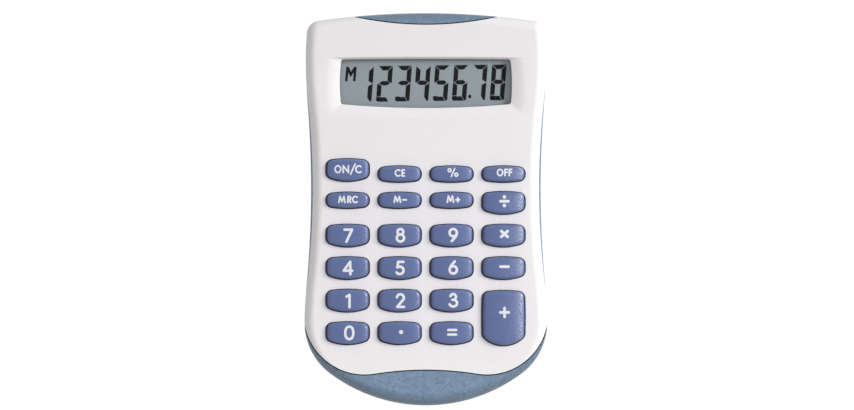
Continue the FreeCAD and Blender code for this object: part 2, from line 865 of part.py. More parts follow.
def rear_cover():
    body = new_body("rear_cover", form("rear_cover_form", rear_form()))
    doc.recompute()
    floor = size.rear_wall

    posts = Profile(body, "case_post_circles", floor)
    for x, y in CASE_SCREWS:
        posts.circle(x, y, size.case_post_diameter)
    pad(body, "case_posts", posts, case_post_top - floor)
    rests = Profile(body, "rest_post_circles", floor)
    for x, y in REST_POSTS:
        rests.circle(x, y, size.rest_post_diameter)
    pad(body, "rest_posts", rests, board_low - floor)

    well = Profile(body, "cell_well_circle", floor)
    well_bore = size.cell_diameter + 2 * size.cell_gap
    well.circle(0, cell_middle, well_bore + 2 * size.well_wall)
    pad(body, "cell_well", well, cell_top - floor)
    bore = Profile(body, "cell_bore_circle", 0)
    bore.circle(0, cell_middle, well_bore)
    pocket(body, "cell_bore", bore, up=True)

    beyond = top_end + size.rear_wall
    start = top_end - size.door_inset_from_top - size.door_gap
    half_plate = size.door_width / 2 + size.door_gap
    half_slot = half_plate + size.door_tongue_width
    recess = Profile(body, "door_recess_outline", 0)
    recess.rectangle(-half_plate, half_plate, start, beyond)
    pocket(body, "door_recess", recess, recess_top, up=True)
    tongue_low = door_top - size.door_tongue_thickness - size.door_gap
    slots = Profile(body, "door_slot_outline", tongue_low)
    slots.rectangle(-half_slot, half_slot, start, beyond)
    pocket(body, "door_slots", slots, recess_top - tongue_low, up=True)

    strip_low = cell_middle - size.contact_strip_width / 2 - size.cell_gap
    strip_high = cell_middle + size.contact_strip_width / 2 + size.cell_gap
    notch = Profile(body, "contact_notch_outline", recess_top)
    well_wall_end = well_bore / 2 + size.well_wall
    notch.rectangle(
        size.cell_diameter / 2 - size.notch_play, well_wall_end + size.notch_play,
        strip_low, strip_high,
    )
    pocket(body, "contact_notch", notch, cell_top - recess_top, up=True)

    seats = Profile(body, "screw_head_circles", 0)
    shafts = Profile(body, "screw_shaft_circles", 0)
    for x, y in CASE_SCREWS:
        seats.circle(x, y, size.case_screw_head_diameter + 2 * size.screw_pass_gap)
        shafts.circle(x, y, size.case_screw_diameter + size.screw_pass_gap)
    pocket(body, "screw_seats", seats, size.case_screw_seat, up=True)
    pocket(body, "screw_shafts", shafts, case_post_top, up=True)
    return body


def battery_door():
    body = new_body("battery_door", form("battery_door_form", door_form()))
    doc.recompute()
    start = top_end - size.door_inset_from_top
    half = size.door_width / 2
    # The tongues stop short of the rounded end of the case
    finish = top_end - size.back_edge_radius * 2
    outer = half + size.door_tongue_width
    root = half - size.door_tongue_root
    tongues = Profile(body, "tongue_outlines", door_top - size.door_tongue_thickness)
    tongues.rectangle(-outer, -root, start, finish)
    tongues.rectangle(root, outer, start, finish)
    pad(body, "tongues", tongues, size.door_tongue_thickness)

    last = top_end - size.back_edge_radius - size.grip_groove_pitch
    half_groove = size.grip_groove_length / 2
    grooves = Profile(body, "grip_groove_outlines", size.door_step)
    for number in range(GRIP_GROOVES):
        low = last - size.grip_groove_pitch * number
        grooves.rectangle(-half_groove, half_groove, low, low + size.grip_groove_width)
    pocket(body, "grip_grooves", grooves, size.grip_groove_depth, up=True)
    return body


# Keys and what lies under them


def key(label, x, y, kind):
    """One key cap: flange under the cover, hollow cap with a crowned top, plunger."""
    height, bottom_radius, side_radius = kind
    body = new_body(label)

    def outline(name, level, grow):
        profile = Profile(body, f"{label}_{name}", level)
        profile.bowed(
            0, 0, size.key_width + 2 * grow, height + 2 * grow,
            size.key_top_radius + grow, side_radius + grow,
            bottom_radius + grow, size.key_corner_radius + grow,
        )
        return profile

    cap_height = key_crown - flange_low
    pad(body, f"{label}_cap", outline("cap_outline", 0, as_size(0)), cap_height)
    pad(
        body, f"{label}_flange",
        outline("flange_outline", 0, size.flange_width), size.flange_thickness,
    )

    crown = Profile(body, f"{label}_crown_outline", plane="XZ_Plane")
    crown_sketch(crown, cap_height)
    crowned = pocket(body, f"{label}_crown", crown, middle=True)
    faces = crowned.Shape.Faces
    top_index = max(range(len(faces)), key=lambda i: faces[i].CenterOfMass.z)
    rounding = body.newObject("PartDesign::Fillet", f"{label}_edge")
    rounding.Base = (crowned, [f"Face{top_index + 1}"])
    bind(rounding, "Radius", size.key_edge_radius)
    doc.recompute()

    hollow = outline("hollow_outline", 0, -size.key_wall)
    pocket(body, f"{label}_hollow", hollow, size.key_hollow_depth, up=True)
    plunger = Profile(body, f"{label}_plunger_circle", 0)
    plunger.circle(0, 0, size.plunger_diameter)
    pad(body, f"{label}_plunger", plunger, size.key_hollow_depth)
    place(body, x, y, flange_low)
    return body


def crown_sketch(profile, cap_height):
    """Everything above a long arc that peaks over the middle of the key."""
    radius = size.key_crown_radius
    reach = size.key_width.value / 2 + CROWN_MARGIN
    drop = radius.value - math.sqrt(radius.value ** 2 - reach ** 2)
    peak = cap_height.value
    centre = FreeCAD.Vector(0, peak - radius.value, 0)
    angle = math.asin(reach / radius.value)
    ring = Part.Circle(centre, FreeCAD.Vector(0, 0, 1), radius.value)
    arc = Part.ArcOfCircle(ring, math.pi / 2 - angle, math.pi / 2 + angle)
    right = FreeCAD.Vector(reach, peak - drop, 0)
    left = FreeCAD.Vector(-reach, peak - drop, 0)
    high = FreeCAD.Vector(0, CROWN_MARGIN + drop, 0)
    lines = [
        Part.LineSegment(left, left + high),
        Part.LineSegment(left + high, right + high),
        Part.LineSegment(right + high, right),
    ]
    profile.sketch.addGeometry([arc] + lines, False)
    profile.constrain([
        ("Coincident", 0, 2, 1, 1),
        ("Coincident", 1, 2, 2, 1),
        ("Coincident", 2, 2, 3, 1),
        ("Coincident", 3, 2, 0, 1),
        ("Vertical", 1),
        ("Vertical", 3),
        ("Horizontal", 2),
        ("Radius", 0, radius),
        ("DistanceX", -1, 1, 0, 3, as_size(0)),
        ("DistanceY", -1, 1, 0, 3, cap_height - radius),
        ("DistanceX", -1, 1, 2, 1, -size.key_width / 2 - CROWN_MARGIN),
        ("DistanceX", -1, 1, 3, 1, size.key_width / 2 + CROWN_MARGIN),
        ("DistanceY", -1, 1, 2, 1, cap_height + CROWN_MARGIN),
    ])


def circuit_board():
    body = new_body("circuit_board")
    plate = Profile(body, "board_outline", board_low)
    plate.rectangle(-board_half_width, board_half_width, board_base, board_head)
    board = pad(body, "board", plate, size.board_thickness)
    upright = [
        f"Edge{index}" for index, edge in enumerate(board.Shape.Edges, start=1)
        if edge.BoundBox.ZLength > edge.BoundBox.XLength + edge.BoundBox.YLength
        and edge.CenterOfMass.y < 0
    ]
    corners = body.newObject("PartDesign::Fillet", "board_corners")
    corners.Base = (board, upright)
    bind(corners, "Radius", size.board_corner_radius)
    doc.recompute()
    holes = Profile(body, "board_hole_circles", board_low)
    for x, y in BOARD_SCREWS:
        holes.circle(x, y, size.board_screw_diameter + size.screw_pass_gap)
    pocket(body, "board_holes", holes, up=True)
    return body


def rubber_keypad():
    """One moulded sheet with a hollow dome under each key."""
    body = new_body("rubber_keypad")
    outline = Profile(body, "sheet_outline", board_top)
    outline.rectangle(-sheet_half_width, sheet_half_width, sheet_base, sheet_head)
    plate = pad(body, "sheet", outline, size.sheet_thickness)
    upright = [
        f"Edge{index}" for index, edge in enumerate(plate.Shape.Edges, start=1)
        if edge.BoundBox.ZLength > edge.BoundBox.XLength + edge.BoundBox.YLength
    ]
    corners = body.newObject("PartDesign::Fillet", "sheet_corners")
    corners.Base = (plate, upright)
    bind(corners, "Radius", size.sheet_corner_radius)
    doc.recompute()

    domes = Profile(body, "dome_circles", board_top)
    bores = Profile(body, "dome_bore_circles", board_top)
    nubs = Profile(body, "nub_circles", flange_low - size.dome_roof)
    for x, y, kind in KEYS.values():
        domes.circle(x, y, size.dome_base_diameter)
        bores.circle(x, y, size.dome_base_diameter - 2 * size.dome_wall)
        nubs.circle(x, y, size.nub_diameter)
    pad(body, "domes", domes, size.dome_height, taper=-size.dome_taper)
    pocket(body, "dome_bores", bores, dome_depth, up=True, taper=-size.dome_taper)
    pad(body, "nubs", nubs, nub_length, down=True)

    holes = Profile(body, "sheet_hole_circles", board_top)
    for x, y in SHEET_HOLES:
        holes.circle(x, y, size.board_boss_diameter + 2 * size.screw_pass_gap)
    pocket(body, "sheet_holes", holes, up=True)
    return body


def key_contacts():
    pads = []
    for name, (x, y, kind) in KEYS.items():
        spot = cylinder(
            f"{name}_contact", x, y, board_top, size.contact_diameter, size.contact_thickness
        )
        pads.append(spot)
    return compound("key_contacts", pads)


# Display


def display_stack():
    """The plates behind the display opening, from the front to the board."""
    plate_left = window_left - size.window_plate_overlap
    plate_low = window_base - size.window_plate_overlap
    plate_high = window_head + size.window_plate_overlap
    window = box(
        "display_window", plate_left, -plate_left, plate_low, plate_high, window_low, adhesive_low
    )
    frame_block = box(
        "adhesive_block", plate_left, -plate_left, plate_low, plate_high, adhesive_low, ceiling
    )
    open_left = window_left - size.adhesive_set_back
    frame_opening = box(
        "adhesive_opening", open_left, -open_left,
        window_base - size.adhesive_set_back, window_head + size.adhesive_set_back,
        adhesive_low, ceiling,
    )
    adhesive = cut("window_adhesive", frame_block, frame_opening)

    film_left = window_left - size.polariser_margin
    film_low = window_base - size.polariser_margin
    film_high = window_head + size.polariser_margin
    front_film = box(
        "lcd_front_polariser", film_left, -film_left, film_low, film_high,
        polariser_low, polariser_top,
    )
    glass_left = window_left - size.glass_margin
    glass_high = window_head + size.glass_margin
    rear_glass_base = window_base - size.polariser_margin
    front_glass_base = rear_glass_base - size.glass_ledge
    front_glass = box(
        "lcd_front_glass", glass_left, -glass_left, front_glass_base, glass_high,
        front_glass_low, polariser_low,
    )
    rear_glass = box(
        "lcd_rear_glass", glass_left, -glass_left, rear_glass_base, glass_high,
        rear_glass_low, seal_low,
    )
    seal_block = box(
        "seal_block", glass_left, -glass_left, rear_glass_base, glass_high,
        seal_low, front_glass_low,
    )
    seal_opening = box(
        "seal_opening", glass_left + size.seal_width, -glass_left - size.seal_width,
        rear_glass_base + size.seal_width, glass_high - size.seal_width,
        seal_low, front_glass_low,
    )
    seal = cut("lcd_seal", seal_block, seal_opening)
    reflector = box(
        "lcd_reflector", film_left, -film_left, film_low, film_high,
        reflector_low, rear_glass_low,
    )
    cushion = box(
        "lcd_cushion", film_left, -film_left, film_low, film_high, board_top, reflector_low
    )
    zebra_middle = rear_glass_base - size.glass_ledge / 2
    zebra = box(
        "zebra_strip", glass_left + size.zebra_end_gap, -glass_left - size.zebra_end_gap,
        zebra_middle - size.zebra_width / 2, zebra_middle + size.zebra_width / 2,
        board_top, front_glass_low,
    )
    return [
        window, adhesive, front_film, front_glass, rear_glass, seal, reflector, cushion, zebra
    ]


def lcd_holder():
    """Frame that stands on the board round the glass and laps over its edge."""
    body = new_body("lcd_holder")
    inner_low = window_base - size.polariser_margin - size.glass_ledge - size.holder_gap
    inner_high = window_head + size.glass_margin + size.holder_gap
    block = Profile(body, "holder_outline", board_top)
    block.rectangle(
        -holder_outer_half, holder_outer_half,
        inner_low - size.holder_wall, inner_high + size.holder_wall,
    )
    pad(body, "holder_block", block, window_low - board_top)
    pit = Profile(body, "holder_pit_outline", board_top)
    pit.rectangle(-holder_inner_half, holder_inner_half, inner_low, inner_high)
    pocket(body, "holder_pit", pit, polariser_low + size.holder_gap - board_top, up=True)
    lip_half = holder_inner_half - size.holder_lip
    opening = Profile(body, "holder_opening_outline", board_top)
    opening.rectangle(
        -lip_half, lip_half,
        window_base - size.polariser_margin - size.holder_gap, inner_high - size.holder_lip,
    )
    pocket(body, "holder_opening", opening, up=True)
    return body


# Electrical parts under the board


def electrical_parts():
    """A resin dome over the chip, and the small parts beside it, all hanging from the board."""
    blob = doc.addObject("Part::Ellipsoid", "chip_blob")
    blob.Label = "chip_blob"
    bind(blob, "Radius1", size.blob_height)
    bind(blob, "Radius2", size.blob_diameter / 2)
    bind(blob, "Radius3", size.blob_diameter / 2)
    blob.Angle1 = -90
    blob.Angle2 = 0
    place(blob, column[1], between_key_rows - size.chip_pitch, board_low)

    rows = (between_key_rows, between_key_rows - size.chip_pitch)
    capacitors = chips(
        "chip_capacitors", [(column[2], row) for row in rows] + [(column[1], on_row)],
        size.capacitor_height,
    )
    resistors = chips(
        "chip_resistors", [(column[2] + size.chip_pitch, row) for row in rows],
        size.resistor_height,
    )
    return [blob, capacitors, resistors]


def chips(label, spots, height):
    blocks = []
    for number, (x, y) in enumerate(spots, start=1):
        blocks.append(box(
            f"{label}_{number}", x, x + size.chip_length, y, y + size.chip_width,
            board_low - height, board_low,
        ))
    return compound(label, blocks)


def button_cell():
    """A can with a slightly narrower lid on the side that faces the board."""
    body = new_body("button_cell")
    can = Profile(body, "can_circle", cell_low)
    can.circle(0, cell_middle, size.cell_diameter)
    pad(body, "can", can, size.cell_thickness - size.cell_lid_height)
    lid = Profile(body, "lid_circle", cell_top - size.cell_lid_height)
    lid.circle(0, cell_middle, size.cell_diameter - 2 * size.cell_rim_width)
    pad(body, "lid", lid, size.cell_lid_height)
    return body


def cell_contact_negative():
    """Leaf spring from the board down to the cell's lid."""
    body = new_body("cell_contact_negative")
    strip = size.contact_strip
    foot = cell_middle - size.cell_diameter / 2 - size.leaf_foot_from_cell
    knee = foot + size.leaf_foot_length
    tip = cell_middle + size.leaf_tip_length
    tip_low = cell_top + (board_low - cell_top - strip) * size.leaf_tip_share
    leaf = Profile(body, "leaf_profile", plane="YZ_Plane")
    leaf.polygon([
        (foot, board_low), (knee, board_low), (cell_middle, cell_top + strip),
        (tip, tip_low + strip), (tip, tip_low), (cell_middle, cell_top),
        (knee, board_low - strip), (foot, board_low - strip),
    ])
    spring = pad(body, "leaf", leaf, size.contact_strip_width)
    spring.Midplane = True
    doc.recompute()
    return body


def cell_contact_positive():
    """Upright blade from the board whose bulge touches the side of the can."""
    body = new_body("cell_contact_positive")
    strip = size.contact_strip
    side = size.cell_diameter / 2
    clear = side + size.blade_clear
    foot = clear + size.blade_foot_length
    low = cell_low + size.blade_end_lift
    bulge = (low + cell_top - size.cell_lid_height) / 2
    blade = Profile(body, "blade_profile", plane="XZ_Plane", level=-cell_middle)
    blade.polygon([
        (foot, board_low), (clear, board_low), (clear, cell_top), (side, bulge),
        (clear, low), (clear + strip, low), (side + strip, bulge),
        (clear + strip, cell_top), (clear + strip, board_low - strip),
        (foot, board_low - strip),
    ])
    spring = pad(body, "blade", blade, size.contact_strip_width)
    spring.Midplane = True
    doc.recompute()
    return body


# Fasteners


def screw(label, x, y, seat, head_diameter, head_height, diameter, reach):
    """Cross-recessed screw with its head below the seat and its shaft above."""
    head = cylinder(f"{label}_head", x, y, seat - head_height, head_diameter, head_height)
    shaft = cylinder(f"{label}_shaft", x, y, seat, diameter, reach)
    whole = doc.addObject("Part::Fuse", f"{label}_blank")
    whole.Base = head
    whole.Tool = shaft
    slot_half = head_diameter * RECESS_REACH
    blade = size.recess_width / 2
    depth = head_height * RECESS_DEPTH
    low = seat - head_height
    along = box(
        f"{label}_recess_along", x - slot_half, x + slot_half, y - blade, y + blade,
        low, low + depth,
    )
    across = box(
        f"{label}_recess_across", x - blade, x + blade, y - slot_half, y + slot_half,
        low, low + depth,
    )
    first = cut(f"{label}_slotted", whole, along)
    return cut(label, first, across)


def screw_groups():
    case_screws = [
        screw(
            f"case_screw_{number}", x, y, size.case_screw_seat,
            size.case_screw_head_diameter, size.case_screw_head_height,
            size.case_screw_diameter, screw_end - size.case_screw_seat,
        )
        for number, (x, y) in enumerate(CASE_SCREWS, start=1)
    ]
    board_screws = [
        screw(
            f"board_screw_{number}", x, y, board_low,
            size.board_screw_head_diameter, size.board_screw_head_height,
            size.board_screw_diameter, screw_end - board_low,
        )
        for number, (x, y) in enumerate(BOARD_SCREWS, start=1)
    ]
    return [compound("case_screws", case_screws), compound("board_screws", board_screws)]


pieces = [front_cover(), rear_cover(), battery_door()]
pieces += [key(label, *spot) for label, spot in KEYS.items()]
pieces += [rubber_keypad(), circuit_board(), key_contacts()]
pieces += display_stack()
pieces += [lcd_holder()]
pieces += electrical_parts()
pieces += [button_cell(), cell_contact_negative(), cell_contact_positive()]
pieces += screw_groups()
doc.recompute()

# Every object must have computed before anything is written
for item in doc.Objects:
    if "Invalid" in item.State or "Error" in item.State:
        raise RuntimeError(f"{item.Name} did not compute: {item.State}")
for piece in pieces:
    if piece.Shape.isNull() or not piece.Shape.isValid():
        raise RuntimeError(f"{piece.Label} has no valid shape")

os.makedirs("parts", exist_ok=True)
for piece in pieces:
    piece.Shape.exportStep(f"parts/{piece.Label}.step")
    solids = len(piece.Shape.Solids)
    print(f"{piece.Label}: {solids} solids, {piece.Shape.Volume:.1f} cubic mm")
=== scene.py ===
import math

import bpy
from bpy.props import FloatProperty, FloatVectorProperty, IntProperty, PointerProperty, StringProperty
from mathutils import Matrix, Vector
from mathutils.geometry import delaunay_2d_cdt


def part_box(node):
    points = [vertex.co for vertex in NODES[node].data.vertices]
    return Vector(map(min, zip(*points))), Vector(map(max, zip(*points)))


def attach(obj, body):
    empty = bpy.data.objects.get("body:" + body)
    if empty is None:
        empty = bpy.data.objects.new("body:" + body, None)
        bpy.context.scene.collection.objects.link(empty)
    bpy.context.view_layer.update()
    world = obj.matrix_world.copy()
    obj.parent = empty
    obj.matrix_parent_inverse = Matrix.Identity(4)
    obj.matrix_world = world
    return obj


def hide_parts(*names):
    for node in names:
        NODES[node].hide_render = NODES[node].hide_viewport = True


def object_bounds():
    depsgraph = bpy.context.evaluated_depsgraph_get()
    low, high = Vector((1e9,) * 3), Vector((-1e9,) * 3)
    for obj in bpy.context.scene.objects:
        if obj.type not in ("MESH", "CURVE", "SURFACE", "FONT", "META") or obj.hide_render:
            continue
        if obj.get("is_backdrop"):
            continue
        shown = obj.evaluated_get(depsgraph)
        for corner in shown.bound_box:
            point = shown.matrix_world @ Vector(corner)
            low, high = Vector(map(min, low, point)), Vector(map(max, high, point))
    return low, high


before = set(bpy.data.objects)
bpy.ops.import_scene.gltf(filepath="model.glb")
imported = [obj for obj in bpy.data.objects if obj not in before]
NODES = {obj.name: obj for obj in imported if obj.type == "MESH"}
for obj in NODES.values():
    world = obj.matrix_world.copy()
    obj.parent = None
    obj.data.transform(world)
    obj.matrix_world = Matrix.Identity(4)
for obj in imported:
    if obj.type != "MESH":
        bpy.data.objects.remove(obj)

bl_info = {
    "name": "Pocket calculator",
    "version": (1, 0, 0),
    "blender": (4, 5, 0),
    "location": "View3D > Sidebar > Calculator",
    "description": "Finishes a pocket calculator round its CAD frame",
    "category": "Object",
}

MM = 0.001
CASE = "case"

# Each key: kind of cap, legend. Its CAD node is key_NAME, and it rides on the body cap_NAME
KEYS = {
    "on_clear": ("big", "ON/C"), "clear_entry": ("small", "CE"), "percent": ("small", "%"),
    "off": ("small", "OFF"), "memory_recall": ("small", "MRC"), "memory_minus": ("small", "M-"),
    "memory_plus": ("small", "M+"), "divide": ("big", "divide"), "7": ("big", "7"),
    "8": ("big", "8"), "9": ("big", "9"), "multiply": ("big", "times"), "4": ("big", "4"),
    "5": ("big", "5"), "6": ("big", "6"), "minus": ("big", "minus"), "1": ("big", "1"),
    "2": ("big", "2"), "3": ("big", "3"), "plus": ("tall", "plus"), "0": ("big", "0"),
    "decimal_point": ("big", "point"), "equals": ("big", "equals"),
}

# Keys further right than this are in the right column
OUTER_COLUMN = 20 * MM

# Faces that meet under this angle, in degrees, are shaded as one
SMOOTH_ANGLE = 32

# Points nearer to each other than this, in metres, are merged
MERGE_DISTANCE = 0.3e-6

WHITE = (1.0, 1.0, 1.0, 1.0)


# Settings


def length(name, description, millimetres):
    return FloatProperty(
        name=name, description=description, default=millimetres * MM,
        subtype="DISTANCE", unit="LENGTH",
    )


def rotation(name, description, degrees):
    return FloatProperty(
        name=name, description=description, default=math.radians(degrees),
        subtype="ANGLE", unit="ROTATION",
    )


def amount(name, description, value, unit="NONE"):
    return FloatProperty(name=name, description=description, default=value, unit=unit)


def colour(name, description, red, green, blue):
    return FloatVectorProperty(
        name=name, description=description, default=(red, green, blue),
        subtype="COLOR", size=3, min=0, max=1,
    )


class CalculatorCaseSettings(bpy.types.PropertyGroup):
    """Finish of the two covers and the door."""

    front_colour: colour("Front cover", "Colour of the front cover", 0.735, 0.713, 0.728)
    rear_colour: colour("Rear cover", "Colour of the rear cover and the door", 0.128, 0.204, 0.303)
    grain_size: length("Grain", "Size of the moulded grain", 0.32)
    smooth_angle: rotation(
        "Smooth angle", "Faces that meet under this angle are shaded as one", SMOOTH_ANGLE,
    )


class CalculatorKeySettings(bpy.types.PropertyGroup):
    """Sizes and finish of the key caps."""

    plastic_colour: colour("Caps", "Colour of the key caps", 0.085, 0.122, 0.275)
    top_radius: length("Top bow", "Radius of the upper edge", 36.0)
    side_radius: length("Side bow", "Radius of the side edges", 30.0)
    tall_side_radius: length("Tall side bow", "Radius of the sides of the tall key", 160.0)
    big_bottom_radius: length("Big bottom bow", "Radius of a big key's lower edge", 15.5)
    small_bottom_radius: length("Small bottom bow", "Radius of a small key's lower edge", 30.0)
    tall_bottom_radius: length("Tall bottom bow", "Radius of the tall key's lower edge", 8.5)
    corner_radius: length("Corner", "Radius of the corners", 1.7)
    crown_radius: length("Crown", "Radius of the arched top", 42.0)
    edge_radius: length("Edge", "Rounding of the upper rim", 1.0)
    flange_width: length("Flange width", "How far the flange stands out", 0.8)
    flange_thickness: length("Flange thickness", "Thickness of the flange", 0.8)
    wall: length("Wall", "Thickness of the side wall", 1.1)
    hollow_depth: length("Hollow", "Depth of the hollow under the cap", 2.2)
    plunger_diameter: length("Plunger", "Diameter of the plunger", 3.6)
    # Painted highlight: light specks on the caps' right ends, stronger on the right column
    painted_glint: amount("Wear", "Polish of the caps' right ends", 0.22)
    outer_painted_glint: amount("Outer wear", "Polish of the right column of caps", 0.95)
    points: IntProperty(
        name="Points", description="Points on each arc of the outline", default=10, min=2,
    )


class CalculatorPrintSettings(bpy.types.PropertyGroup):
    """Sizes and colour of the key legends."""

    ink_colour: colour("Ink", "Colour of the legends", 0.68, 0.68, 0.73)
    ink_thickness: length("Thickness", "Thickness of the print", 0.03)
    digit_height: length("Digit height", "Height of a digit between stroke middles", 3.73)
    digit_stroke: length("Digit stroke", "Width of a digit's stroke", 0.78)


class CalculatorDisplaySettings(bpy.types.PropertyGroup):
    """Sizes and colours of the display."""

    film_colour: colour("Film", "Colour of the film behind the digits", 0.283, 0.316, 0.336)
    segment_colour: colour("Segments", "Colour of a lit segment", 0.012, 0.012, 0.014)
    digits: StringProperty(name="Digits", description="Digits shown", default="12345678")
    digit_width: length("Digit width", "Width of an upright digit", 4.42)
    digit_height: length("Digit height", "Height of a digit", 10.9)
    segment_width: length("Segment width", "Width of a segment", 1.38)
    digit_pitch: length("Digit pitch", "Distance between digits", 5.79)
    first_x: length("First X", "Lower left corner of the first digit, to the right", -21.07)
    first_y: length("First Y", "Lower left corner of the first digit, upwards", 32.80)
    ink_thickness: length("Thickness", "Thickness of the segments", 0.02)
    slant: rotation("Slant", "Lean of the digits", 5)
    turn: rotation("Turn", "How far the row of digits is turned", 0.7)


class CalculatorStageSettings(bpy.types.PropertyGroup):
    """Light and view of the stage."""

    floor_reach: length("Floor", "Half the width of the floor", 4000)
    light_power: amount("Lamp", "Power of the soft lamp", 36.0, "POWER")
    ambient: amount("Ambient", "Strength of the light all round", 0.66)
    lamp_azimuth: rotation("Lamp azimuth", "Where the lamp stands, round from the right", 18)
    lamp_height: rotation("Lamp height", "How high the lamp stands over the floor", 31)
    lamp_distance: length("Lamp distance", "Distance of the lamp from the middle", 2000)
    lamp_size: length("Lamp size", "Width of the square lamp", 700)
    strip_power: amount("Strip", "Power of the strip that only gloss shows", 0.020, "POWER")
    strip_width: length("Strip width", "Width of the strip", 20)
    strip_length: length("Strip length", "Length of the strip", 75)
    strip_x: length("Strip X", "Place of the strip, to the right", 54)
    strip_y: length("Strip Y", "Place of the strip, towards the display", -4)
    strip_height: length("Strip height", "Height of the strip over the floor", 90)
    strip_aim: length("Strip aim", "Where the strip faces, to the right", 24)
    view_distance: length("View distance", "Distance from the camera to the front face", 1500)
    view_width: length("View width", "Width that the picture takes in", 260.55)
    view_x: length("View middle X", "Middle of the picture, to the right", 0.34)
    view_y: length("View middle Y", "Middle of the picture, towards the display", 1.31)


SETTINGS = {
    "calculator_case": CalculatorCaseSettings,
    "calculator_keys": CalculatorKeySettings,
    "calculator_print": CalculatorPrintSettings,
    "calculator_display": CalculatorDisplaySettings,
    "calculator_stage": CalculatorStageSettings,
}


# Node trees


class Term:
    """An output socket in a sum: each operation on it adds a Math node."""

    def __init__(self, tree, socket):
        self.tree = tree
        self.socket = socket

    def math(self, operation, *others):
        node = self.tree.nodes.new("ShaderNodeMath")
        node.operation = operation
        for place, value in enumerate((self, *others)):
            put(self.tree, node.inputs[place], value)
        return Term(self.tree, node.outputs[0])

    def __add__(self, other):
        return self.math("ADD", other)

    def __radd__(self, other):
        return self.math("ADD", other)

    def __sub__(self, other):
        return self.math("SUBTRACT", other)

    def __rsub__(self, other):
        return (-self).math("ADD", other)

    def __mul__(self, other):
        return self.math("MULTIPLY", other)

    def __truediv__(self, other):
        return self.math("DIVIDE", other)

    def __neg__(self):
        return self.math("MULTIPLY", -1.0)


def put(tree, socket, value):
    """Gives a socket a value, or links it to a Term."""
    if isinstance(value, Term):
        tree.links.new(value.socket, socket)
    else:
        socket.default_value = value


def add(tree, kind, values=None, output=0, **settings):
    """Adds a node with its settings and inputs, and returns one of its outputs."""
    node = tree.nodes.new(kind)
    for name, setting in settings.items():
        setattr(node, name, setting)
    for socket, value in (values or {}).items():
        put(tree, node.inputs[socket], value)
    return Term(tree, node.outputs[output])


def root(value):
    return value.math("SQRT")


def between(value, low, high):
    """The value, held between two others."""
    return value.math("MAXIMUM", low).math("MINIMUM", high)


def choose(test, no, yes):
    """One of two numbers, by whether test is over a half."""
    return no + (yes - no) * test.math("GREATER_THAN", 0.5)


def part(value, axis):
    """The X, Y or Z of a vector, by 0, 1 or 2."""
    return add(value.tree, "ShaderNodeSeparateXYZ", {0: value}, output=axis)


def vector(tree, x=0.0, y=0.0, z=0.0):
    return add(tree, "ShaderNodeCombineXYZ", {0: x, 1: y, 2: z})


# Geometry Nodes


GEOMETRY = "NodeSocketGeometry"
FLOAT = "NodeSocketFloat"
INTEGER = "NodeSocketInt"
MATERIAL = "NodeSocketMaterial"


def geometry_tree(name, inputs):
    """A new tree with its named inputs: the tree, its input Terms, and its output socket."""
    tree = bpy.data.node_groups.new(name, "GeometryNodeTree")
    tree.is_modifier = True
    tree.interface.new_socket("Geometry", in_out="OUTPUT", socket_type=GEOMETRY)
    tree.interface.new_socket("Geometry", in_out="INPUT", socket_type=GEOMETRY)
    for label, kind in inputs.items():
        tree.interface.new_socket(label, in_out="INPUT", socket_type=kind)
    entry = tree.nodes.new("NodeGroupInput")
    terms = {socket.name: Term(tree, socket) for socket in entry.outputs if socket.name}
    out = tree.nodes.new("NodeGroupOutput")
    return tree, terms, out.inputs[0]


def read(tree, name, kind="FLOAT"):
    """A named attribute of the mesh."""
    return add(tree, "GeometryNodeInputNamedAttribute", {"Name": name}, data_type=kind)


def store(tree, geometry, name, value, kind="FLOAT"):
    """The geometry with a named attribute on its points."""
    return add(
        tree, "GeometryNodeStoreNamedAttribute",
        {"Geometry": geometry, "Name": name, "Value": value}, data_type=kind, domain="POINT",
    )


def move(tree, geometry, position):
    return add(tree, "GeometryNodeSetPosition", {"Geometry": geometry, "Position": position})


def join(tree, *geometries):
    joined = tree.nodes.new("GeometryNodeJoinGeometry")
    for geometry in geometries:
        tree.links.new(geometry.socket, joined.inputs[0])
    return Term(tree, joined.outputs[0])


def close_tree(tree, geometry, material, output, angle=math.radians(SMOOTH_ANGLE)):
    """Ends a tree: one closed smooth mesh with its material."""
    whole = add(tree, "GeometryNodeRealizeInstances", {"Geometry": geometry})
    merged = add(
        tree, "GeometryNodeMergeByDistance", {"Geometry": whole, "Distance": MERGE_DISTANCE}
    )
    smooth = add(tree, "GeometryNodeSetShadeSmooth", {"Geometry": merged, "Shade Smooth": True})
    bend = add(tree, "GeometryNodeInputMeshEdgeAngle")
    creased = add(
        tree, "GeometryNodeSetShadeSmooth",
        {"Geometry": smooth, "Selection": bend.math("GREATER_THAN", angle), "Shade Smooth": False},
        domain="EDGE",
    )
    painted = add(tree, "GeometryNodeSetMaterial", {"Geometry": creased, "Material": material})
    put(tree, output, painted)


def set_inputs(modifier, values):
    """Gives a Geometry Nodes modifier its inputs by the sockets' identifiers."""
    for item in modifier.node_group.interface.items_tree:
        if item.item_type == "SOCKET" and item.in_out == "INPUT" and item.name in values:
            modifier[item.identifier] = values[item.name]


def new_object(name, data):
    piece = bpy.data.objects.new(name, data)
    bpy.context.scene.collection.objects.link(piece)
    return piece


def grow(name, mesh, tree, values, material):
    """The plain mesh that a tree makes of a start mesh, as a new object."""
    seed = new_object(f"{name}_seed", mesh)
    modifier = seed.modifiers.new(tree.name, "NODES")
    modifier.node_group = tree
    set_inputs(modifier, {**values, "Material": material})
    graph = bpy.context.evaluated_depsgraph_get()
    graph.update()
    made = bpy.data.meshes.new_from_object(seed.evaluated_get(graph), depsgraph=graph)
    made.name = name
    bpy.data.objects.remove(seed)
    bpy.data.meshes.remove(mesh)
    if not made.polygons:
        raise RuntimeError(f"{name} came out empty")
    return new_object(name, made)


# Where the painted highlight of light specks lies on a cap's right end: shares of its half width, and
# how fast the painted highlight sets in and ends
PAINTED_GLINT_START = 0.40
PAINTED_GLINT_RISE = 2.0
PAINTED_GLINT_END = 0.95
PAINTED_GLINT_FALL = 9.0


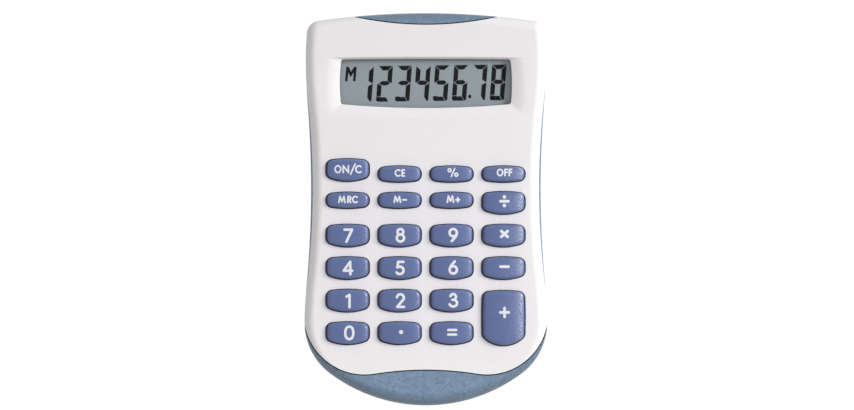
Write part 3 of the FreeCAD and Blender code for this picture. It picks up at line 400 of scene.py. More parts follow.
def key_cap_tree():
    """Sweeps a cap's profile round a rectangle with bowed sides and rounded corners.

    Each vertex of the start mesh is one ring of the cap. Its X is the distance outside the
    outline and its Z the height. crowned says how far the ring follows the arched top, share
    draws it in to the middle of the key, and rounded makes it a circle.
    """
    tree, given, output = geometry_tree("Key Cap", {
        "Middle X": FLOAT, "Middle Y": FLOAT, "Width": FLOAT, "Height": FLOAT,
        "Top Radius": FLOAT, "Side Radius": FLOAT, "Bottom Radius": FLOAT,
        "Corner Radius": FLOAT, "Crown Radius": FLOAT, "Wear": FLOAT, "Points": INTEGER,
        "Material": MATERIAL,
    })
    rings = add(
        tree, "GeometryNodeAttributeDomainSize", {"Geometry": given["Geometry"]}, component="MESH"
    )
    around = given["Points"] * 10
    grid = add(
        tree, "GeometryNodeMeshGrid",
        {"Size X": 1.0, "Size Y": 1.0, "Vertices X": around + 1, "Vertices Y": rings},
    )
    index = add(tree, "GeometryNodeInputIndex")
    step = ((index + 0.5) / rings).math("FLOOR")
    ring = index - step * rings

    def of_ring(value, kind):
        return add(
            tree, "GeometryNodeSampleIndex",
            {"Geometry": given["Geometry"], "Value": value, "Index": ring}, data_type=kind,
        )

    def ring_number(label):
        return of_ring(read(tree, label), "FLOAT")

    place = of_ring(add(tree, "GeometryNodeInputPosition"), "FLOAT_VECTOR")
    outside = part(place, 0)
    level = part(place, 2)
    crowned = ring_number("crowned")
    share = ring_number("share")
    rounded = ring_number("rounded")

    # Circles that carry the sides of the right half, each drawn in by the corner radius
    half_width = given["Width"] / 2
    half_height = given["Height"] / 2
    corner = given["Corner Radius"]
    side_x = half_width - given["Side Radius"]
    side_radius = given["Side Radius"] - corner

    def end_and_corner(radius):
        """For an upper end of this radius: its circle, and the angles where the corner starts."""
        end_y = half_height - radius
        end_radius = radius - corner
        gap = root(side_x * side_x + end_y * end_y)
        along = (end_radius * end_radius - side_radius * side_radius + gap * gap) / (gap * 2)
        across = root(end_radius * end_radius - along * along)
        corner_x = (along * side_x - across * end_y) / gap
        corner_y = end_y - (along * end_y + across * side_x) / gap
        end_angle = (corner_y - end_y).math("ARCTAN2", corner_x)
        side_angle = corner_y.math("ARCTAN2", corner_x - side_x)
        return end_y, end_radius, end_angle, side_angle

    top_y, top_radius, top_angle, side_high = end_and_corner(given["Top Radius"])
    foot_y, foot_radius, foot_angle, side_low = end_and_corner(given["Bottom Radius"])

    # Five arcs from the lowest point up the right half, and down the left half by mirroring
    turn = step / (around / 2)
    mirror = (1 - turn).math("SIGN")
    travel = (1 - (turn - 1).math("ABSOLUTE")) * 5
    quarter = math.pi / 2
    bounds = [-quarter, -foot_angle, -side_low, side_high, top_angle, quarter]
    angle = between(travel, 0.0, 1.0) * (bounds[1] - bounds[0]) + bounds[0]
    for number in range(1, 5):
        share_done = between(travel - float(number), 0.0, 1.0)
        angle = angle + share_done * (bounds[number + 1] - bounds[number])
    way_x = angle.math("COSINE")
    way_y = angle.math("SINE")
    side_way = between(angle, bounds[2], bounds[3])
    core_x = side_way.math("COSINE") * side_radius + side_x
    core_y = side_way.math("SINE") * side_radius
    on_top = travel.math("GREATER_THAN", 4.0)
    on_foot = travel.math("LESS_THAN", 1.0)
    core_x = choose(on_top, core_x, way_x * top_radius)
    core_y = choose(on_top, core_y, way_y * top_radius + top_y)
    core_x = choose(on_foot, core_x, way_x * foot_radius)
    core_y = choose(on_foot, core_y, way_y * foot_radius - foot_y)
    outline_x = core_x + way_x * corner
    outline_y = core_y + way_y * corner

    squared = 1 - rounded
    x = (outline_x * squared + way_x * outside) * share * mirror
    y = (outline_y * squared + way_y * outside) * share
    crown = given["Crown Radius"]
    drop = crown - root(crown * crown - x * x)
    position = vector(
        tree, x + given["Middle X"], y + given["Middle Y"], level - crowned * drop
    )
    rim = store(tree, move(tree, grid, position), "rim", ring_number("rim"))
    # Painted highlight: where the light specks go on the cap's right end
    reach = x / half_width
    rise = between((reach - PAINTED_GLINT_START) * PAINTED_GLINT_RISE, 0.0, 1.0)
    fall = between((PAINTED_GLINT_END - reach) * PAINTED_GLINT_FALL, 0.0, 1.0)
    painted_glint_zone = store(tree, rim, "painted_glint_zone", rise * rise * fall * crowned * given["Wear"])
    close_tree(tree, painted_glint_zone, given["Material"], output)
    return tree


def print_tree():
    """Lays a flat print on an arched key top and gives it its thickness."""
    tree, given, output = geometry_tree("Key Legend", {
        "Middle X": FLOAT, "Top Level": FLOAT, "Crown Radius": FLOAT, "Thickness": FLOAT,
        "Material": MATERIAL,
    })
    place = add(tree, "GeometryNodeInputPosition")
    x, y = part(place, 0), part(place, 1)
    off = x - given["Middle X"]
    crown = given["Crown Radius"]
    level = given["Top Level"] - crown + root(crown * crown - off * off)
    laid = move(tree, given["Geometry"], vector(tree, x, y, level))
    close_tree(tree, thicken(tree, laid, given["Thickness"]), given["Material"], output)
    return tree


def thicken(tree, sheet, thickness):
    """The sheet as a closed slab that stands on it."""
    raised = add(
        tree, "GeometryNodeExtrudeMesh",
        {"Mesh": sheet, "Offset": vector(tree, z=1.0), "Offset Scale": thickness,
         "Individual": False},
        mode="FACES",
    )
    base = add(tree, "GeometryNodeFlipFaces", {"Mesh": sheet})
    return join(tree, base, raised)


def display_tree(digits):
    """Repeats a digit of seven segments, and keeps the segments that each digit lights.

    Faces of the start mesh with a segment under zero are marks that stay as they are.
    """
    tree, given, output = geometry_tree("Display Digits", {
        "Pitch": FLOAT, "First X": FLOAT, "First Y": FLOAT, "Turn": FLOAT, "Level": FLOAT,
        "Thickness": FLOAT, "Material": MATERIAL,
    })
    segment = read(tree, "segment", "INT")
    sorted_faces = tree.nodes.new("GeometryNodeSeparateGeometry")
    sorted_faces.domain = "FACE"
    put(tree, sorted_faces.inputs["Geometry"], given["Geometry"])
    put(tree, sorted_faces.inputs["Selection"], segment.math("LESS_THAN", -0.5))
    fixed, cell = (Term(tree, socket) for socket in sorted_faces.outputs)

    number = add(tree, "GeometryNodeInputIndex")
    reach = number * given["Pitch"]
    turn = given["Turn"]
    spot = vector(
        tree, given["First X"] + reach * turn.math("COSINE"),
        given["First Y"] + reach * turn.math("SINE"),
    )
    line = add(tree, "GeometryNodeMeshLine", {"Count": len(digits)}, mode="OFFSET")
    lit = tree.nodes.new("GeometryNodeIndexSwitch")
    lit.data_type = "INT"
    while len(lit.index_switch_items) < len(digits):
        lit.index_switch_items.new()
    put(tree, lit.inputs["Index"], number)
    for place, digit in enumerate(digits):
        lit.inputs[str(place)].default_value = SEGMENTS_LIT[digit]
    marked = store(tree, move(tree, line, spot), "lit", Term(tree, lit.outputs[0]), "INT")
    copies = add(
        tree, "GeometryNodeInstanceOnPoints",
        {"Points": marked, "Instance": cell, "Rotation": vector(tree, z=turn)},
    )
    real = add(tree, "GeometryNodeRealizeInstances", {"Geometry": copies})
    power = add(tree, "ShaderNodeMath", {0: 2.0, 1: segment}, operation="POWER")
    bit = ((read(tree, "lit", "INT") + 0.5) / power).math("FLOOR").math("MODULO", 2.0)
    shown = add(
        tree, "GeometryNodeDeleteGeometry",
        {"Geometry": real, "Selection": bit.math("LESS_THAN", 0.5)}, domain="FACE",
    )
    place = add(tree, "GeometryNodeInputPosition")
    flat = vector(tree, part(place, 0), part(place, 1), given["Level"])
    laid = move(tree, join(tree, shown, fixed), flat)
    close_tree(tree, thicken(tree, laid, given["Thickness"]), given["Material"], output)
    return tree


def smooth_tree():
    """Shades a CAD node's loose triangles as the smooth faces they stand for."""
    tree, given, output = geometry_tree("Smooth Faces", {"Angle": FLOAT, "Material": MATERIAL})
    bare = add(
        tree, "GeometryNodeRemoveAttribute",
        {"Geometry": given["Geometry"], "Name": "custom_normal"},
    )
    close_tree(tree, bare, given["Material"], output, given["Angle"])
    return tree


# Flat shapes, in millimetres


# Longest side of a stroke's outline, and the steps round each of its ends
SIDE_LENGTH = 0.5
ROUND_STEPS = 8

# Degrees between the points of an arc and of an oval
ARC_STEP = 12
OVAL_STEP = 10

# Half the length of the stroke that makes a dot
DOT_REACH = 0.005

# Corners nearer than this are one, where outlines overlap
OUTLINE_MERGE = 1e-4


def arc(x, y, radius_x, radius_y, start, finish):
    """Points on an ellipse between two angles in degrees."""
    steps = max(2, round(abs(finish - start) / ARC_STEP))
    points = []
    for number in range(steps + 1):
        angle = math.radians(start + (finish - start) * number / steps)
        points.append((x + radius_x * math.cos(angle), y + radius_y * math.sin(angle)))
    return points


def ring(x, y, radius_x, radius_y):
    """A closed stroke in two halves."""
    return [arc(x, y, radius_x, radius_y, 90, 270), arc(x, y, radius_x, radius_y, -90, 90)]


def path(*points):
    """Straight strokes from point to point."""
    return [[points[i], points[i + 1]] for i in range(len(points) - 1)]


def oval(x, y, radius_x, radius_y, power):
    """A closed stroke on a squarish oval, in two halves."""
    halves = []
    for start in (90, -90):
        points = []
        for number in range(180 // OVAL_STEP + 1):
            angle = math.radians(start + OVAL_STEP * number)
            cosine, sine = math.cos(angle), math.sin(angle)
            points.append((
                x + radius_x * math.copysign(abs(cosine) ** (2 / power), cosine),
                y + radius_y * math.copysign(abs(sine) ** (2 / power), sine),
            ))
        halves.append(points)
    return halves


def turned(strokes, x, y):
    """The strokes, turned half round a point."""
    return [[(2 * x - px, 2 * y - py) for px, py in stroke] for stroke in strokes]


NINE = ring(0.297, 0.733, 0.297, 0.30) + path(
    (0.595, 0.69), (0.54, 0.50), (0.405, 0.29), (0.174, 0.046)
)

TWO_BOW = arc(0.297, 0.744, 0.29, 0.285, 172, -25)

# Strokes of each character, with a cap height of 1 between stroke middles
GLYPHS = {
    "0": oval(0.328, 0.492, 0.328, 0.508, 2.3),
    "1": path((0.0, 0.856), (0.246, 1.0), (0.24, -0.015)),
    "2": [TWO_BOW] + path(TWO_BOW[-1], (0.04, 0.0), (0.60, 0.0)),
    "3": [arc(0.292, 0.79, 0.23, 0.235, 165, -90), arc(0.295, 0.28, 0.315, 0.275, 90, -160)]
    + path((0.22, 0.555), (0.295, 0.555)),
    "4": path((0.523, 0.98), (0.0, 0.26), (0.687, 0.25)) + path((0.523, 0.98), (0.54, -0.035)),
    "5": path((0.605, 0.99), (0.164, 0.99), (0.113, 0.53))
    + [arc(0.30, 0.297, 0.31, 0.305, 130, -145)],
    "6": turned(NINE, 0.297, 0.515),
    "7": path((0.0, 0.99), (0.62, 0.99), (0.155, 0.0)),
    "8": ring(0.295, 0.80, 0.235, 0.225) + ring(0.297, 0.297, 0.297, 0.29),
    "9": NINE,
    "C": [arc(0.46, 0.5, 0.46, 0.5, 50, 310)],
    "E": path((0.38, 1), (0, 1), (0, 0), (0.38, 0)) + path((0, 0.5), (0.36, 0.5)),
    "F": path((0.39, 1), (0, 1), (0, 0)) + path((0, 0.535), (0.37, 0.535)),
    "M": path((0, 0), (0.19, 1), (0.53, 0.14), (0.85, 1), (1.04, 0)),
    "N": path((0, 0), (0, 1), (0.76, 0), (0.76, 1)),
    "O": ring(0.42, 0.5, 0.42, 0.5),
    "R": path((0, 0), (0, 1), (0.22, 1)) + [arc(0.22, 0.75, 0.25, 0.25, 90, -90)]
    + path((0.22, 0.5), (0, 0.5)) + path((0.2, 0.5), (0.47, 0)),
    "/": path((0.67, 1.27), (0, -0.25)),
}

# Words: characters, cap height, stroke, gaps between characters, middle from the key's middle
WORDS = {
    "ON/C": ("ON/C", 2.04, 0.49, (0.39, 0.33, 0.12), (0.03, 0.20)),
    "CE": ("CE", 1.84, 0.49, (0.37,), (0.0, 0.26)),
    "OFF": ("OFF", 1.87, 0.50, (0.37, 0.33), (0.22, 0.40)),
    "MRC": ("MRC", 1.81, 0.50, (0.48, 0.32), (0.02, 0.16)),
}

DIGIT_MIDDLES = {
    "0": (0.42, 0.04), "1": (0.05, -0.18), "2": (0.17, -0.04), "3": (0.44, 0.06),
    "4": (0.02, -0.03), "5": (0.05, -0.01), "6": (0.42, 0.14), "7": (0.10, -0.10),
    "8": (0.16, 0.03), "9": (0.42, 0.10),
}


def dot(x, y):
    """A stroke so short that its round ends make a dot."""
    return [[(x - DOT_REACH, y), (x + DOT_REACH, y)]]


# Signs, in millimetres from the key's middle: strokes, and their width
SIGNS = {
    "%": [(ring(-0.69, 1.08, 0.46, 0.46) + ring(1.33, -0.26, 0.46, 0.46)
           + path((0.88, 1.64), (-0.19, -0.79)), 0.45)],
    "M-": [(path((-1.72, -0.66), (-1.38, 1.10), (-0.77, -0.43), (-0.16, 1.10), (0.19, -0.66))
            + path((0.88, 0.05), (1.96, 0.05)), 0.52)],
    "M+": [(path((-1.40, -0.65), (-1.05, 1.22), (-0.44, -0.32), (0.17, 1.22), (0.52, -0.65))
            + path((1.24, 0.08), (2.36, 0.08)) + path((1.80, -0.56), (1.80, 0.72)), 0.53)],
    "divide": [(path((-1.00, 0.44), (1.36, 0.44)), 0.86),
               (dot(0.16, 1.74) + dot(0.16, -0.86), 1.12)],
    "times": [(path((-0.78, 1.30), (1.13, -0.42)) + path((-0.78, -0.42), (1.13, 1.30)), 0.88)],
    "minus": [(path((-1.01, 0.38), (1.39, 0.38)), 0.85)],
    "plus": [(path((-1.09, 1.68), (1.51, 1.68)) + path((0.21, 0.33), (0.21, 3.03)), 0.82)],
    "equals": [(path((-1.13, 0.93), (1.29, 0.93)) + path((-1.13, -0.47), (1.29, -0.47)), 0.75)],
    "point": [(dot(0.36, 0.28), 1.26)],
}


def stroke_outline(points, width):
    """The outline of a stroke with round ends."""
    half = width / 2
    dense = [points[0]]
    for (ax, ay), (bx, by) in zip(points, points[1:]):
        pieces = max(1, math.ceil(math.hypot(bx - ax, by - ay) / SIDE_LENGTH))
        dense += [
            (ax + (bx - ax) * i / pieces, ay + (by - ay) * i / pieces)
            for i in range(1, pieces + 1)
        ]
    count = len(dense)
    ways = []
    for i in range(count):
        ax, ay = dense[max(0, i - 1)]
        bx, by = dense[min(count - 1, i + 1)]
        size = math.hypot(bx - ax, by - ay)
        ways.append(((bx - ax) / size, (by - ay) / size))

    def cap(point, way):
        start = math.atan2(way[1], way[0]) - math.pi / 2
        return [
            (point[0] + half * math.cos(start + math.pi * i / ROUND_STEPS),
             point[1] + half * math.sin(start + math.pi * i / ROUND_STEPS))
            for i in range(ROUND_STEPS + 1)
        ]

    right = [(x + half * wy, y - half * wx) for (x, y), (wx, wy) in zip(dense, ways)]
    left = [(x - half * wy, y + half * wx) for (x, y), (wx, wy) in zip(dense, ways)]
    last, first = ways[-1], (-ways[0][0], -ways[0][1])
    return right[:-1] + cap(dense[-1], last) + left[-2:0:-1] + cap(dense[0], first)[:-1]


def flat_mesh(name, outlines, x, y):
    """One flat mesh of overlapping outlines, moved to a place in millimetres."""
    points, faces = [], []
    for outline in outlines:
        faces.append(list(range(len(points), len(points) + len(outline))))
        points += [Vector(point) for point in outline]
    made, _, cells, _, _, sources = delaunay_2d_cdt(points, [], faces, 0, OUTLINE_MERGE, True)
    corners = [((px + x) * MM, (py + y) * MM, 0.0) for px, py in made]
    inside = [cell for cell, source in zip(cells, sources) if source]
    mesh = bpy.data.meshes.new(name)
    mesh.from_pydata(corners, [], inside)
    mesh.validate()
    return mesh


def shape_of(strokes, scale, width, middle):
    """Outlines of a character's strokes, scaled, with their box centred on a point."""
    outlines = [
        stroke_outline([(px * scale, py * scale) for px, py in stroke], width)
        for stroke in strokes
    ]
    if middle is None:
        return outlines
    xs = [px for outline in outlines for px, py in outline]
    ys = [py for outline in outlines for px, py in outline]
    dx = middle[0] - (min(xs) + max(xs)) / 2
    dy = middle[1] - (min(ys) + max(ys)) / 2
    return [[(px + dx, py + dy) for px, py in outline] for outline in outlines]


def word_strokes(text, gaps):
    """The strokes of a word, with the given gaps between its characters."""
    strokes, start = [], 0.0
    for number, character in enumerate(text):
        glyph = GLYPHS[character]
        left = min(px for stroke in glyph for px, py in stroke)
        right = max(px for stroke in glyph for px, py in stroke)
        strokes += [[(px - left + start, py) for px, py in stroke] for stroke in glyph]
        start += right - left + (gaps[number] if number < len(gaps) else 0)
    return strokes


def legend_outlines(legend, settings):
    if legend in SIGNS:
        return [
            stroke_outline(stroke, width) for strokes, width in SIGNS[legend] for stroke in strokes
        ]
    if legend in WORDS:
        text, height, width, gaps, middle = WORDS[legend]
        return shape_of(word_strokes(text, gaps), height, width, middle)
    return shape_of(
        GLYPHS[legend], settings.digit_height / MM, settings.digit_stroke / MM,
        DIGIT_MIDDLES[legend],
    )


# Display segments, as bits: top, upper right, lower right, bottom, lower left, upper left, middle
SEGMENTS_LIT = {
    "0": 63, "1": 6, "2": 91, "3": 79, "4": 102, "5": 109, "6": 125, "7": 7, "8": 127, "9": 111,
}


def segment_outlines(width, height, bar):
    """The seven segments of an upright digit, in millimetres from its lower left corner."""
    middle = height * 0.517
    inner = width - bar
    half = bar * 0.48
    return [
        [(0.10, height), (width - 0.10, height), (inner - 0.10, height - bar),
         (bar + 0.10, height - bar)],
        [(width, height - 0.16), (inner, height - bar - 0.09), (inner, middle + half + 0.10),
         (width - 0.34, middle + 0.05), (width - 0.10, middle + 0.06), (width, middle + 0.16)],
        [(width, middle - 0.10), (inner, middle - half - 0.22), (inner, bar + 0.02),
         (width - 0.52, 0.04), (width - 0.26, 0.10), (width - 0.06, 0.32), (width, 0.60)],
        [(inner - 0.13, bar - 0.03), (bar, bar - 0.03), (bar - 0.10, 1.54), (0.22, 1.50),
         (0.0, 1.38), (0.0, 0.72), (0.09, 0.36), (0.30, 0.10), (0.65, 0.0), (width - 0.67, 0.0)],
        [(0.0, 1.58), (bar, 1.68), (bar, middle - half - 0.22), (0.24, middle - 0.08),
         (0.0, middle - 0.34)],
        [(0.0, height - 0.16), (0.0, middle + 0.16), (0.10, middle + 0.06),
         (0.34, middle + 0.05), (bar, middle + half + 0.10), (bar, height - bar - 0.09)],
        [(0.50, middle), (bar + 0.02, middle - half), (inner + 0.02, middle - half),
         (width - 0.50, middle), (inner - 0.02, middle + half), (bar + 0.02, middle + half)],
    ]


# Outlines of the memory mark and the decimal point, and their places on the face
MEMORY_MARK = [
    (0.0, 0.0), (0.78, 0.0), (0.78, 2.75), (1.6, 1.20), (2.42, 2.75), (2.42, 0.0), (3.2, 0.0),
    (3.2, 4.45), (2.42, 4.45), (1.6, 2.90), (0.78, 4.45), (0.0, 4.45),
]
MEMORY_MARK_PLACE = (-24.72, 39.12)
POINT_MARK = arc(0, 0, 0.48, 0.55, 0, 345)
POINT_PLACE = (13.42, 34.50)


# Finishes


def bare_tree(owner, output):
    """The emptied node tree of a material or the world, and the socket that ends it."""
    owner.use_nodes = True
    tree = owner.node_tree
    tree.nodes.clear()
    return tree, tree.nodes.new(output).inputs["Surface"]


def object_place(tree):
    return add(tree, "ShaderNodeTexCoord", output="Object")


def new_finish(name):
    """A material with one shader: the material, tree, shader and object coordinates."""
    material = bpy.data.materials.new(name)
    tree, surface = bare_tree(material, "ShaderNodeOutputMaterial")
    shader = tree.nodes.new("ShaderNodeBsdfPrincipled")
    tree.links.new(shader.outputs[0], surface)
    return material, tree, shader, object_place(tree)


def tinted(tree, base, tone):
    """A colour, made lighter or darker by a tone."""
    return add(
        tree, "ShaderNodeHueSaturation", {"Value": tone, "Color": (*base, 1.0)}, output="Color"
    )


def mixed(tree, share, shade, tint):
    """A shade with a share of a tint in it."""
    return add(
        tree, "ShaderNodeMix", {"Factor": share, 6: shade, 7: (*tint, 1.0)},
        output=2, data_type="RGBA",
    )


def dress(tree, shader, shade, roughness, relief, height):
    """Gives a shader its colour, roughness and relief, whose height is in millimetres."""
    put(tree, shader.inputs["Base Color"], shade)
    put(tree, shader.inputs["Roughness"], roughness)
    bump = add(
        tree, "ShaderNodeBump", {"Height": relief, "Distance": height * MM, "Strength": 1.0},
        output="Normal",
    )
    put(tree, shader.inputs["Normal"], bump)


def noise(tree, place, millimetres, detail=2.0, roughness=0.55):
    """A noise pattern with lumps of about this size, from 0 to 1."""
    return add(
        tree, "ShaderNodeTexNoise",
        {"Vector": place, "Scale": 1 / (millimetres * MM), "Detail": detail,
         "Roughness": roughness},
    )


# Coarse lumps of grain, as a multiple of the fine ones
COARSE_GRAIN = 3.1

# Share of the broad patches in the gloss, and of the fine grain in the relief
BROAD_SHARE = 0.6
FINE_SHARE = 0.7

# Share of a rim's colour that is the same all along it, and how much smoother the rim is
RIM_EVENNESS = 0.35
RIM_POLISH = 0.06

# Painted highlight of light specks on a cap's right end: colour, width in millimetres, and the level
# of noise at which the specks set in, and how fast
PAINTED_GLINT_COLOUR = (0.50, 0.55, 0.70)
PAINTED_GLINT_WIDTH = 0.30
PAINTED_GLINT_LEVEL = 0.42
PAINTED_GLINT_STEEPNESS = 5.0


def moulded(name, base, grain=0.32, grain_tone=0.05, patch=9.0, patch_tone=0.03,
            rough=(0.42, 0.60), height=0.010, specks=None, rim=None, shine=0.5, painted_shade_to_display=0.0,
            painted_shade_upright=0.0):
    """Moulded plastic with a spark-eroded grain, slow changes of tone and uneven gloss.

    fade is the share by which a painted shade darkens the tone over a metre towards the display,
    and painted_shade_upright the share by which a painted shade darkens it where the surface stands
    upright.
    """
    material, tree, shader, place = new_finish(name)
    fine = noise(tree, place, grain)
    broad = noise(tree, place, patch, 3.0)
    coarse = noise(tree, place, grain * COARSE_GRAIN)
    tone = 1 + (fine - 0.5) * (2 * grain_tone) + (broad - 0.5) * (2 * patch_tone)
    tone = tone + (coarse - 0.5) * grain_tone
    # Painted shade: darker towards the display end, where less light falls
    if painted_shade_to_display:
        tone = tone - part(place, 1) * painted_shade_to_display
    # Painted shade: darker where the surface stands upright, where less light falls
    if painted_shade_upright:
        level = part(add(tree, "ShaderNodeNewGeometry", output="Normal"), 2)
        tone = tone * (1 - root(between(1 - level * level, 0.0, 1.0)) * painted_shade_upright)
    shade = tinted(tree, base, tone)
    uneven = broad * BROAD_SHARE + coarse * (1 - BROAD_SHARE)
    roughness = rough[0] + uneven * (rough[1] - rough[0])
    if rim is not None:
        edge = add(tree, "ShaderNodeAttribute", output="Fac", attribute_name="rim")
        shade = mixed(tree, edge * (RIM_EVENNESS + fine * (1 - RIM_EVENNESS)), shade, rim)
        roughness = roughness - edge * RIM_POLISH
        # Painted highlight: light specks on a cap's right end, mixed into its colour
        painted_glint_share = add(tree, "ShaderNodeAttribute", output="Fac", attribute_name="painted_glint_zone")
        glint_specks = noise(tree, place, PAINTED_GLINT_WIDTH, 1.0) - PAINTED_GLINT_LEVEL
        shade = mixed(tree, painted_glint_share * between(glint_specks * PAINTED_GLINT_STEEPNESS, 0.0, 1.0), shade, PAINTED_GLINT_COLOUR)
    if specks is not None:
        cells = tree.nodes.new("ShaderNodeTexVoronoi")
        put(tree, cells.inputs["Vector"], place)
        cells.inputs["Scale"].default_value = 1 / (specks["spacing"] * MM)
        spot = Term(tree, cells.outputs["Distance"])
        chance = add(tree, "ShaderNodeSeparateColor", {0: Term(tree, cells.outputs["Color"])})
        mask = spot.math("LESS_THAN", specks["size"] / specks["spacing"] / 2)
        mask = mask * chance.math("GREATER_THAN", specks["kept"]) * specks["strength"]
        shade = mixed(tree, mask, shade, specks["tint"])
    shader.inputs["Specular IOR Level"].default_value = shine
    relief = fine * FINE_SHARE + coarse * (1 - FINE_SHARE)
    dress(tree, shader, shade, roughness, relief, height)
    return material


def ink(name, base, tone=0.05, roughness=0.55, shine=0.5):
    """Printed ink: slightly uneven in tone and gloss."""
    return moulded(
        name, base, grain=0.22, grain_tone=tone, patch=3.0, patch_tone=tone / 2,
        rough=(roughness - 0.08, roughness + 0.08), height=0.004, shine=shine,
    )


# Streaks and stains on metal: sizes in millimetres, and how much each changes the tone
STREAK_WIDTH = 0.15
STREAK_LENGTH = 3.0
STREAK_TONE = 0.16
STAIN_WIDTH = 2.5
STAIN_TONE = 0.12
METAL_RELIEF = 0.002


def metal(name, base, rough=(0.25, 0.45)):
    """Plated or drawn metal with fine streaks and small stains."""
    material, tree, shader, place = new_finish(name)
    scale = (1.0, STREAK_WIDTH / STREAK_LENGTH, 1.0)
    stretched = add(tree, "ShaderNodeMapping", {"Vector": place, "Scale": scale})
    lines = noise(tree, stretched, STREAK_WIDTH, 3.0)
    stains = noise(tree, place, STAIN_WIDTH, 4.0)
    tone = 1 - (STREAK_TONE + STAIN_TONE) / 2 + lines * STREAK_TONE + stains * STAIN_TONE
    roughness = rough[0] + stains * (rough[1] - rough[0])
    shader.inputs["Metallic"].default_value = 1.0
    dress(tree, shader, tinted(tree, base, tone), roughness, lines, METAL_RELIEF)
    return material


# Share of the window's reflections that shows, and its index of refraction
WINDOW_GLOSS = 0.35
WINDOW_INDEX = 1.3


def window_finish(name):
    """Clear plate: what lies under it shows through, with a faint gloss over it."""
    material = bpy.data.materials.new(name)
    tree, surface = bare_tree(material, "ShaderNodeOutputMaterial")
    haze = noise(tree, object_place(tree), 4.0, 3.0)
    tint = tinted(tree, (0.97, 0.98, 0.98), 0.985 + haze * 0.02)
    clear = add(tree, "ShaderNodeBsdfTransparent", {"Color": tint})
    gloss = add(
        tree, "ShaderNodeBsdfGlossy", {"Color": WHITE, "Roughness": 0.04 + haze * 0.05}
    )
    edge = add(tree, "ShaderNodeFresnel", {"IOR": WINDOW_INDEX})
    outer = 1 - add(tree, "ShaderNodeNewGeometry", output="Backfacing")
    both = add(
        tree, "ShaderNodeMixShader", {0: edge * outer * WINDOW_GLOSS, 1: clear, 2: gloss},
        output="Shader",
    )
    put(tree, surface, both)
    return material


def give(node, material):
    """Puts a finish on a CAD node, and smooths how its faces are shaded."""
    piece = NODES[node]
    piece.data.materials.clear()
    piece.data.materials.append(material)
    modifier = piece.modifiers.new("Smooth Faces", "NODES")
    modifier.node_group = bpy.data.node_groups.get("Smooth Faces") or smooth_tree()
    set_inputs(modifier, {
        "Angle": bpy.context.scene.calculator_case.smooth_angle, "Material": material,
    })
    weighted = piece.modifiers.new("Even Shading", "WEIGHTED_NORMAL")
    weighted.keep_sharp = True


# Operators


class CALCULATOR_OT_case(bpy.types.Operator):
    """Finish the two covers and the battery door"""

    bl_idname = "calculator.case"
    bl_label = "Covers"

    def execute(self, context):
        settings = context.scene.calculator_case
        grain = settings.grain_size / MM
        # Painted shade: the front cover is darker towards the display end
        front = moulded(
            "white_moulded_plastic", settings.front_colour, grain=grain, grain_tone=0.06,
            patch=14.0, patch_tone=0.015, rough=(0.46, 0.60), height=0.024, painted_shade_to_display=0.75,
            specks={"spacing": 5.5, "size": 0.16, "kept": 0.72, "strength": 0.5,
                    "tint": (0.30, 0.27, 0.26)},
        )
        # Painted shade: the rear cover and door are darker on their upright sides
        rear = moulded(
            "blue_moulded_plastic", settings.rear_colour, grain=grain * 1.3, grain_tone=0.7,
            patch=10.0, patch_tone=0.03, rough=(0.36, 0.50), height=0.030, shine=0.8,
            painted_shade_upright=0.36,
        )
        give("front_cover", front)
        give("rear_cover", rear)
        give("battery_door", rear)
        return {"FINISHED"}


# Rings on a cap's top, by their share of the way from its middle, and steps round its rim
TOP_RINGS = (0.0, 0.25, 0.5, 0.7, 0.85, 0.94)
RIM_STEPS = 8

# Room that the plunger leaves to the wall of a narrow cap
PLUNGER_ROOM = 0.1 * MM


def cap_profile(settings, low, top, height):
    """Rings of a cap from the middle of its top to the middle of its underside."""
    edge = settings.edge_radius
    rings = [(-edge, top, 1, share, 0, 0) for share in TOP_RINGS]
    for number in range(RIM_STEPS + 1):
        angle = math.pi / 2 * number / RIM_STEPS
        rings.append((
            -edge * (1 - math.sin(angle)), top - edge * (1 - math.cos(angle)), 1, 1, 0,
            math.sin(math.pi * number / RIM_STEPS) ** 2,
        ))
    flange_top = low + settings.flange_thickness
    hollow_top = low + settings.hollow_depth
    shell = (
        (0.0, flange_top), (settings.flange_width, flange_top), (settings.flange_width, low),
        (-settings.wall, low), (-settings.wall, hollow_top),
    )
    rings += [(outside, level, 0, 1, 0, 0) for outside, level in shell]
    plunger = min(settings.plunger_diameter / 2, height / 2 - settings.wall - PLUNGER_ROOM)
    stem = ((plunger, hollow_top), (plunger, low), (0.0, low))
    return rings + [(outside, level, 0, 1, 1, 0) for outside, level in stem]


def ring_mesh(name, rings):
    mesh = bpy.data.meshes.new(name)
    mesh.from_pydata([(outside, 0.0, level) for outside, level, *rest in rings], [], [])
    for place, label in enumerate(("crowned", "share", "rounded", "rim"), start=2):
        attribute = mesh.attributes.new(label, "FLOAT", "POINT")
        attribute.data.foreach_set("value", [float(ring[place]) for ring in rings])
    return mesh


